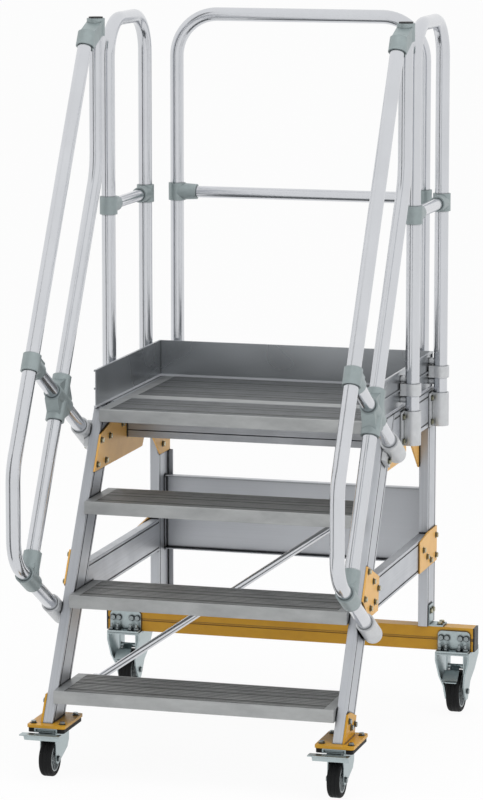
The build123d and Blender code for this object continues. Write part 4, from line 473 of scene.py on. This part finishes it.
def moulded(name, colour, roughness, grit=0.8, dust=None, specular=0.5):
    """Moulded rubber or plastic with a fine texture, and dust in its low places if a dust colour
    is given."""
    material, tree = new_material(name)
    texture = grain(tree, (grit, grit, grit), detail=3.0)
    clouds = grain(tree, (18.0, 18.0, 18.0), detail=5.0)
    if dust:
        tone = drifting(tree, clouds, tuple(colour), dust, (0.40, 0.75), 0.30)
    else:
        tone = drifting(tree, clouds, shade(colour, 0.8), tuple(colour))
    finish_surface(tree, clouds, (roughness - 0.05, roughness + 0.08), {
        "Base Color": tone,
        "IOR": 1.5,
        "Specular IOR Level": specular,
        "Normal": relief(tree, texture, 0.05),
    })
    return material


# ------------------------------------------------------------------ operators
class STAND_OT_extrusions(bpy.types.Operator):
    """Mill finish for the stringers, legs, rails, beams, treads and toe boards"""

    bl_idname = "stand.extrusions"
    bl_label = "Extrusions"

    def execute(self, context):
        colours = context.scene.stand_finishes
        mill = colours.aluminium
        lean = (math.radians(-30.0), 0.0, 0.0)      # the stringers lean 30 degrees from upright
        dress(BARS_ACROSS, extruded_aluminium("extruded aluminium across", mill, "X"))
        dress(BARS_ALONG, extruded_aluminium("extruded aluminium along", mill, "Y"))
        dress(BARS_UPRIGHT, extruded_aluminium("extruded aluminium upright", mill, "Z"))
        dress(BARS_SLOPING, extruded_aluminium("extruded aluminium sloping", mill, "Z", turn=lean))
        sheet = extruded_aluminium("rolled aluminium sheet", mill, "X", roughness=0.36, streak=0.04)
        dress(("rear_panel",), sheet)
        for node in TREADS:
            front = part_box(node)[0].y
            nose = (REAR_PLANK_STRIP if node == "deck_plank_rear" else TREAD_NOSE) * MM
            worn = colours.deck if node.startswith("deck") else colours.tread
            dress((node,), ribbed_aluminium("ribbed aluminium " + node, worn, colours.nosing, front, nose))
        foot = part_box("deck_plank_rear")[1].z + TOE_BOARD_LIP * MM
        for nodes, along in ((BOARDS_ACROSS, "X"), (BOARDS_ALONG, "Y")):
            dress(nodes, brushed_board("brushed toe board " + along, colours.toe_board, along, mill, foot))
        return {"FINISHED"}


class STAND_OT_rails(bpy.types.Operator):
    """Drawn tube finish for all rails and the brace"""

    bl_idname = "stand.rails"
    bl_label = "Rails"

    def execute(self, context):
        dress(TUBES, drawn_tube("drawn aluminium tube", context.scene.stand_finishes.tube))
        return {"FINISHED"}


class STAND_OT_castings(bpy.types.Operator):
    """Blasted finish for the clamps, brackets and sockets"""

    bl_idname = "stand.castings"
    bl_label = "Castings"

    def execute(self, context):
        colours = context.scene.stand_finishes
        dress(CASTINGS, blasted_casting("shot-blasted cast aluminium", colours.casting))
        dress(POST_SEATS, blasted_casting("vibration-finished cast aluminium", colours.seat))
        return {"FINISHED"}


class STAND_OT_plates(bpy.types.Operator):
    """Ochre coat for the beam, gussets and foot plates, and plate finishes for steel fittings"""

    bl_idname = "stand.plates"
    bl_label = "Plates and steel"

    def execute(self, context):
        colours = context.scene.stand_finishes
        dress(COATED_BEAMS, powder_coat("ochre powder coat on steel", colours.coating))
        # Painted light: the gussets get the ochre coat painted lighter than the beam's, as the coat looks
        # where light falls on it.
        dress(GUSSETS, powder_coat("ochre powder coat on steel painted lit", colours.gusset_lit_ochre))
        dress(PRESSED_STEEL, zinc_plate("zinc-plated pressed steel", colours.zinc))
        dress(FASTENERS, zinc_plate("zinc-plated bolt", linear("98A0A2"), roughness=0.26))
        dress(("frame_bolts",), zinc_plate("yellow-passivated zinc bolt", linear("AFAC92"), roughness=0.24))
        pad_rubber = moulded("black EPDM rubber", linear("141312"), 0.6, dust=linear("242220"), specular=0.25)
        dress(("foot_pads",), pad_rubber)
        dress(("end_caps",), moulded("black polypropylene", linear("1B1B1D"), 0.45))
        return {"FINISHED"}


class STAND_OT_tread_ends(bpy.types.Operator):
    """Recessed covers in the hollow cells of the treads and of the front plank, at both ends"""

    bl_idname = "stand.tread_ends"
    bl_label = "Tread ends"

    def execute(self, context):
        colours = context.scene.stand_finishes
        cover_finish = blasted_casting("tumbled aluminium end cover", colours.nosing)
        for node in TREADS:
            if node == "deck_plank_rear":
                continue
            low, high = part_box(node)
            for side, edge in (("left", low.x), ("right", high.x)):
                for cell in range(TREAD_CELLS):
                    self.make_cover(f"{node}_cover_{side}_{cell + 1}", low, high, edge, cell, cover_finish)
        return {"FINISHED"}

    def make_cover(self, name, low, high, edge, cell, finish):
        """Plate that fills one cell's mouth, with a shallow panel pressed into its outer face."""
        wall, play, thickness, inset = 3.0 * MM, 0.3 * MM, 3.0 * MM, 0.4 * MM
        corner, rim, pressed = 2.5 * MM, 3.0 * MM, 0.8 * MM
        outward = 1.0 if edge > 0 else -1.0
        pitch = (high.y - low.y - wall) / TREAD_CELLS
        size = Vector((thickness, pitch - wall - 2 * play, high.z - low.z - 2 * (wall + play)))
        across = edge - outward * (inset + thickness / 2)
        middle = Vector((across, low.y + wall / 2 + (cell + 0.5) * pitch, (low.z + high.z) / 2))
        place = Matrix.Translation(middle) @ Matrix.Diagonal(size.to_4d())
        cover = bmesh.new()
        corners = bmesh.ops.create_cube(cover, size=1.0)["verts"]
        bmesh.ops.transform(cover, matrix=place, verts=corners)
        ends = [line for line in cover.edges if abs(line.verts[0].co.x - line.verts[1].co.x) > MM]
        bmesh.ops.bevel(cover, geom=ends, offset=corner, segments=4, profile=0.5, affect="EDGES")
        faces = [face for face in cover.faces if face.normal.x * outward > 0.9]
        bmesh.ops.inset_region(cover, faces=faces, thickness=rim, depth=-pressed)
        smooth(cover)
        add_piece(name, cover, finish, "frame")


def tyre_profile(half, outer, inner, groove):
    """Section of a solid tyre: round shoulders, two shallow grooves and flat sides. The grooves'
    edges are shares of the flat part of the tread."""
    corner = half * 0.42
    right = shoulder_points(half, outer, corner)
    flat = half - corner
    crown = [
        (flat * 0.62, outer), (flat * 0.56, outer - groove), (flat * 0.44, outer - groove),
        (flat * 0.38, outer),
    ]
    upper = crown[::-1] + right
    side = [(half, inner + (outer - inner) * 0.35), (half * 0.90, inner)]
    one_side = upper + side
    other = [(-along, radius) for along, radius in reversed(one_side)]
    return one_side + other


class STAND_OT_wheels(bpy.types.Operator):
    """Tyres and moulded wheel centres in place of the plain wheels"""

    bl_idname = "stand.wheels"
    bl_label = "Wheels"

    def execute(self, context):
        colours = context.scene.stand_finishes
        groove = context.scene.stand_sizes.tread_depth
        rubber = moulded(
            "solid rubber tyre", colours.tyre, 0.66, grit=0.7, dust=linear("1F1F1F"), specular=0.2
        )
        plastic = moulded("moulded polyamide wheel centre", colours.rim, 0.4)
        for end in ("front", "rear"):
            for side in SIDES:
                self.make_wheel(end, side, groove, rubber, plastic)
        return {"FINISHED"}

    def make_wheel(self, end, side, groove, rubber, plastic):
        """Tyre with its grooves, and the wheel centre inside it."""
        tyre_node, hub_node = f"{end}_tyre_{side}", f"{end}_hub_{side}"
        body = f"{end}_wheel_{side}"
        low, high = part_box(tyre_node)
        centre = (low + high) / 2
        half, outer = (high.x - low.x) / 2, (high.z - low.z) / 2
        inner = outer - TYRE_THICKNESS * MM
        ring = bmesh.new()
        lathe(ring, tyre_profile(half, outer, inner, groove), centre)
        smooth(ring)
        tyre = add_piece(tyre_node + "_tread", ring, rubber, body)
        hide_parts(tyre_node)
        hub_low, hub_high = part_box(hub_node)
        boss_half = (hub_high.x - hub_low.x) / 2
        self.make_centre(hub_node, body, centre, half, inner, boss_half, plastic)

    def make_centre(self, node_name, body, centre, half, outer, boss_half, plastic):
        """Rim ring, recessed web with ribs, and a boss round the axle."""
        bore, boss, web_half = AXLE_BORE * MM, BOSS_RADIUS * MM, WEB_HALF * MM
        boss_edge, rim_edge, rim_half = BOSS_EDGE * MM, RIM_EDGE * MM, half * RIM_SHARE
        # (along, radius) points of one half: the boss, the web and the rim, with soft corners
        section = [
            (boss_half, bore), (boss_half, boss - boss_edge), (boss_half - boss_edge, boss),
            (web_half + 1 * MM, boss + 2 * MM), (web_half, boss + 4 * MM),
            (web_half, outer - 9 * MM), (web_half + 2 * MM, outer - 6 * MM),
            (rim_half - 1 * MM, outer - 5 * MM), (rim_half, outer - RIM_WALL * MM),
            (rim_half, outer - rim_edge), (rim_half - rim_edge, outer),
        ]
        section = section + [(-along, radius) for along, radius in reversed(section)]
        wheel_centre = bmesh.new()
        lathe(wheel_centre, section, centre)
        length = outer - 5 * MM - boss
        size = Matrix.Diagonal((2 * (rim_half - 3 * MM), RIB_THICKNESS * MM, length + 1 * MM, 1))
        for k in range(WHEEL_RIBS):
            turn = Matrix.Translation(centre) @ Matrix.Rotation(2 * math.pi * k / WHEEL_RIBS, 4, "X")
            rib = bmesh.ops.create_cube(wheel_centre, size=1.0)["verts"]
            place = turn @ Matrix.Translation((0, 0, boss + length / 2))
            bmesh.ops.transform(wheel_centre, matrix=place @ size, verts=rib)
        bmesh.ops.recalc_face_normals(wheel_centre, faces=wheel_centre.faces)
        smooth(wheel_centre)
        piece = add_piece(node_name + "_centre", wheel_centre, plastic, body)
        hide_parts(node_name)


class STAND_OT_studio(bpy.types.Operator):
    """Floor, room light, lamps and camera"""

    bl_idname = "stand.studio"
    bl_label = "Studio"

    def execute(self, context):
        settings = context.scene.stand_studio
        context.scene.view_settings.view_transform = "Standard"
        self.make_floor()
        self.make_room(context.scene, settings.ambient)
        self.make_lamps(settings)
        self.make_camera(context.scene, settings)
        return {"FINISHED"}

    def seen_directly(self, tree):
        """1 for camera, glossy and transmission rays, and 0 for the light that falls on surfaces."""
        path = add_node(tree, "LightPath").outputs
        rays = path["Is Camera Ray"]
        for kind in ("Is Glossy Ray", "Is Transmission Ray"):
            rays = add_node(tree, "Math", {"operation": "MAXIMUM"}, {0: rays, 1: path[kind]}).outputs[0]
        return rays

    def make_floor(self):
        """White floor that reaches past every view, just below the wheels."""
        half_side, gap, white_share = 400.0, 0.5 * MM, 0.94
        mesh = bmesh.new()
        bmesh.ops.create_grid(mesh, x_segments=1, y_segments=1, size=half_side)
        data = bpy.data.meshes.new("floor")
        mesh.to_mesh(data)
        mesh.free()
        floor = bpy.data.objects.new("floor", data)
        floor.location.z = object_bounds()[0][2] - gap
        bpy.context.scene.collection.objects.link(floor)
        floor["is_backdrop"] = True
        material, tree = new_material("white studio floor")
        matt = add_node(tree, "BsdfDiffuse", inputs={"Color": linear("FAFAFA")}).outputs[0]
        white = add_node(tree, "Emission", inputs={"Color": (1, 1, 1, 1), "Strength": 1.0}).outputs[0]
        seen = self.seen_directly(tree)
        share = add_node(tree, "Math", {"operation": "MULTIPLY"}, {0: seen, 1: white_share})
        both = add_node(tree, "MixShader", inputs={0: share.outputs[0], 1: matt, 2: white})
        add_node(tree, "OutputMaterial", inputs={"Surface": both.outputs[0]})
        data.materials.append(material)

    def make_room(self, scene, ambient):
        """White room that lights the stand softly and shows white behind it."""
        world = bpy.data.worlds.new("studio room")
        world.use_nodes = True
        world.node_tree.nodes.clear()
        tree = world.node_tree
        level = add_node(tree, "MapRange", inputs={
            "Value": self.seen_directly(tree), "To Min": ambient, "To Max": 1.0,
        })
        strength = level.outputs["Result"]
        light = add_node(tree, "Background", inputs={"Color": (1, 1, 1, 1), "Strength": strength})
        add_node(tree, "OutputWorld", inputs={"Surface": light.outputs[0]})
        scene.world = world

    def make_lamps(self, settings):
        """Three square lamps that aim at the stand, and the flag that the tubes reflect."""
        middle = Vector((0, 0, 1.0))
        # name, power, place and size, in metres
        lamps = (
            ("top lamp", settings.top_light, (0.4, -0.4, 5.0), 3.2),
            ("side lamp", settings.side_light, (4.6, -1.6, 2.6), 2.6),
            ("fill lamp", settings.fill_light, (-3.4, -4.2, 2.2), 2.4),
        )
        for name, power, place, size in lamps:
            data = bpy.data.lights.new(name, "AREA")
            data.energy = power
            data.size = size
            lamp = bpy.data.objects.new(name, data)
            lamp.location = place
            lamp.visible_camera = False
            lamp.visible_glossy = False
            lamp.rotation_euler = (middle - Vector(place)).to_track_quat("-Z", "Y").to_euler()
            bpy.context.scene.collection.objects.link(lamp)
        self.make_flag("dark flag", azimuth=-37.0, width=0.26)

    def make_flag(self, name, azimuth, width):
        """Dark runner on the floor and dark board behind it, out of view. They draw a dark line
        along the bright tubes. The width is a share of the distance."""
        angle = math.radians(azimuth)
        out = Vector((math.sin(angle), -math.cos(angle), 0))
        across = Vector((math.cos(angle), math.sin(angle), 0))
        near, far, top = 1.2, 6.0, 7.0
        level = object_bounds()[0][2]
        mesh = bmesh.new()
        rows = []
        for reach, height in ((near, level), (far, level), (far, top)):
            half = reach * width / 2
            rows.append([
                mesh.verts.new(out * reach + across * (side * half) + Vector((0, 0, height)))
                for side in (-1, 1)
            ])
        for here, there in zip(rows, rows[1:]):
            mesh.faces.new((here[0], here[1], there[1], there[0]))
        data = bpy.data.meshes.new(name)
        mesh.to_mesh(data)
        mesh.free()
        flag = bpy.data.objects.new(name, data)
        bpy.context.scene.collection.objects.link(flag)
        flag.visible_camera = False
        flag.visible_diffuse = False
        flag.visible_shadow = False
        flag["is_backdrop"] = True
        material, tree = new_material("grey felt flag")
        felt = add_node(tree, "BsdfDiffuse", inputs={"Color": linear("7E8082")})
        add_node(tree, "OutputMaterial", inputs={"Surface": felt.outputs[0]})
        data.materials.append(material)

    def make_camera(self, scene, settings):
        """Long lens from the front right. The target is beside the stand's middle."""
        turn, rise = settings.azimuth, settings.elevation
        right = Vector((math.cos(turn), math.sin(turn), 0))
        back = Vector((math.sin(turn) * math.cos(rise), -math.cos(turn) * math.cos(rise), math.sin(rise)))
        up = back.cross(right)
        beside = 0.06807
        target = Vector((0, 0.24625, 1.0)) - right * beside
        data = bpy.data.cameras.new("studio camera")
        data.lens = settings.lens
        data.sensor_width = 36.0
        data.sensor_fit = "AUTO"
        data.shift_x = 0.0022
        data.shift_y = -0.0184
        data.clip_end = 100.0
        camera = bpy.data.objects.new("studio camera", data)
        scene.collection.objects.link(camera)
        place = target + back * settings.distance
        camera.matrix_world = Matrix.Translation(place) @ Matrix((right, up, back)).transposed().to_4x4()
        scene.camera = camera


class STAND_PT_panel(bpy.types.Panel):
    """Lists the settings and the operators"""

    bl_idname = "STAND_PT_panel"
    bl_label = "Ladder stand"
    bl_space_type = "VIEW_3D"
    bl_region_type = "UI"
    bl_category = "Stand"

    def draw(self, context):
        for group in (context.scene.stand_finishes, context.scene.stand_sizes, context.scene.stand_studio):
            box = self.layout.box()
            for name in group.__annotations__:
                box.prop(group, name)
        for operator in OPERATORS:
            self.layout.operator(operator.bl_idname)


OPERATORS = (
    STAND_OT_extrusions, STAND_OT_rails, STAND_OT_castings, STAND_OT_plates, STAND_OT_tread_ends,
    STAND_OT_wheels, STAND_OT_studio,
)
GROUPS = {
    "stand_finishes": StandFinishes,
    "stand_sizes": StandSizes,
    "stand_studio": StandStudio,
}


def register():
    for group in GROUPS.values():
        bpy.utils.register_class(group)
    for name, group in GROUPS.items():
        setattr(bpy.types.Scene, name, bpy.props.PointerProperty(type=group))
    for operator in OPERATORS:
        bpy.utils.register_class(operator)
    bpy.utils.register_class(STAND_PT_panel)


def unregister():
    bpy.utils.unregister_class(STAND_PT_panel)
    for operator in reversed(OPERATORS):
        bpy.utils.unregister_class(operator)
    for name in GROUPS:
        delattr(bpy.types.Scene, name)
    for group in GROUPS.values():
        bpy.utils.unregister_class(group)


def main():
    register()
    bpy.ops.stand.extrusions()
    bpy.ops.stand.rails()
    bpy.ops.stand.castings()
    bpy.ops.stand.plates()
    bpy.ops.stand.tread_ends()
    bpy.ops.stand.wheels()
    bpy.ops.stand.studio()


if __name__ == "__main__":
    main()
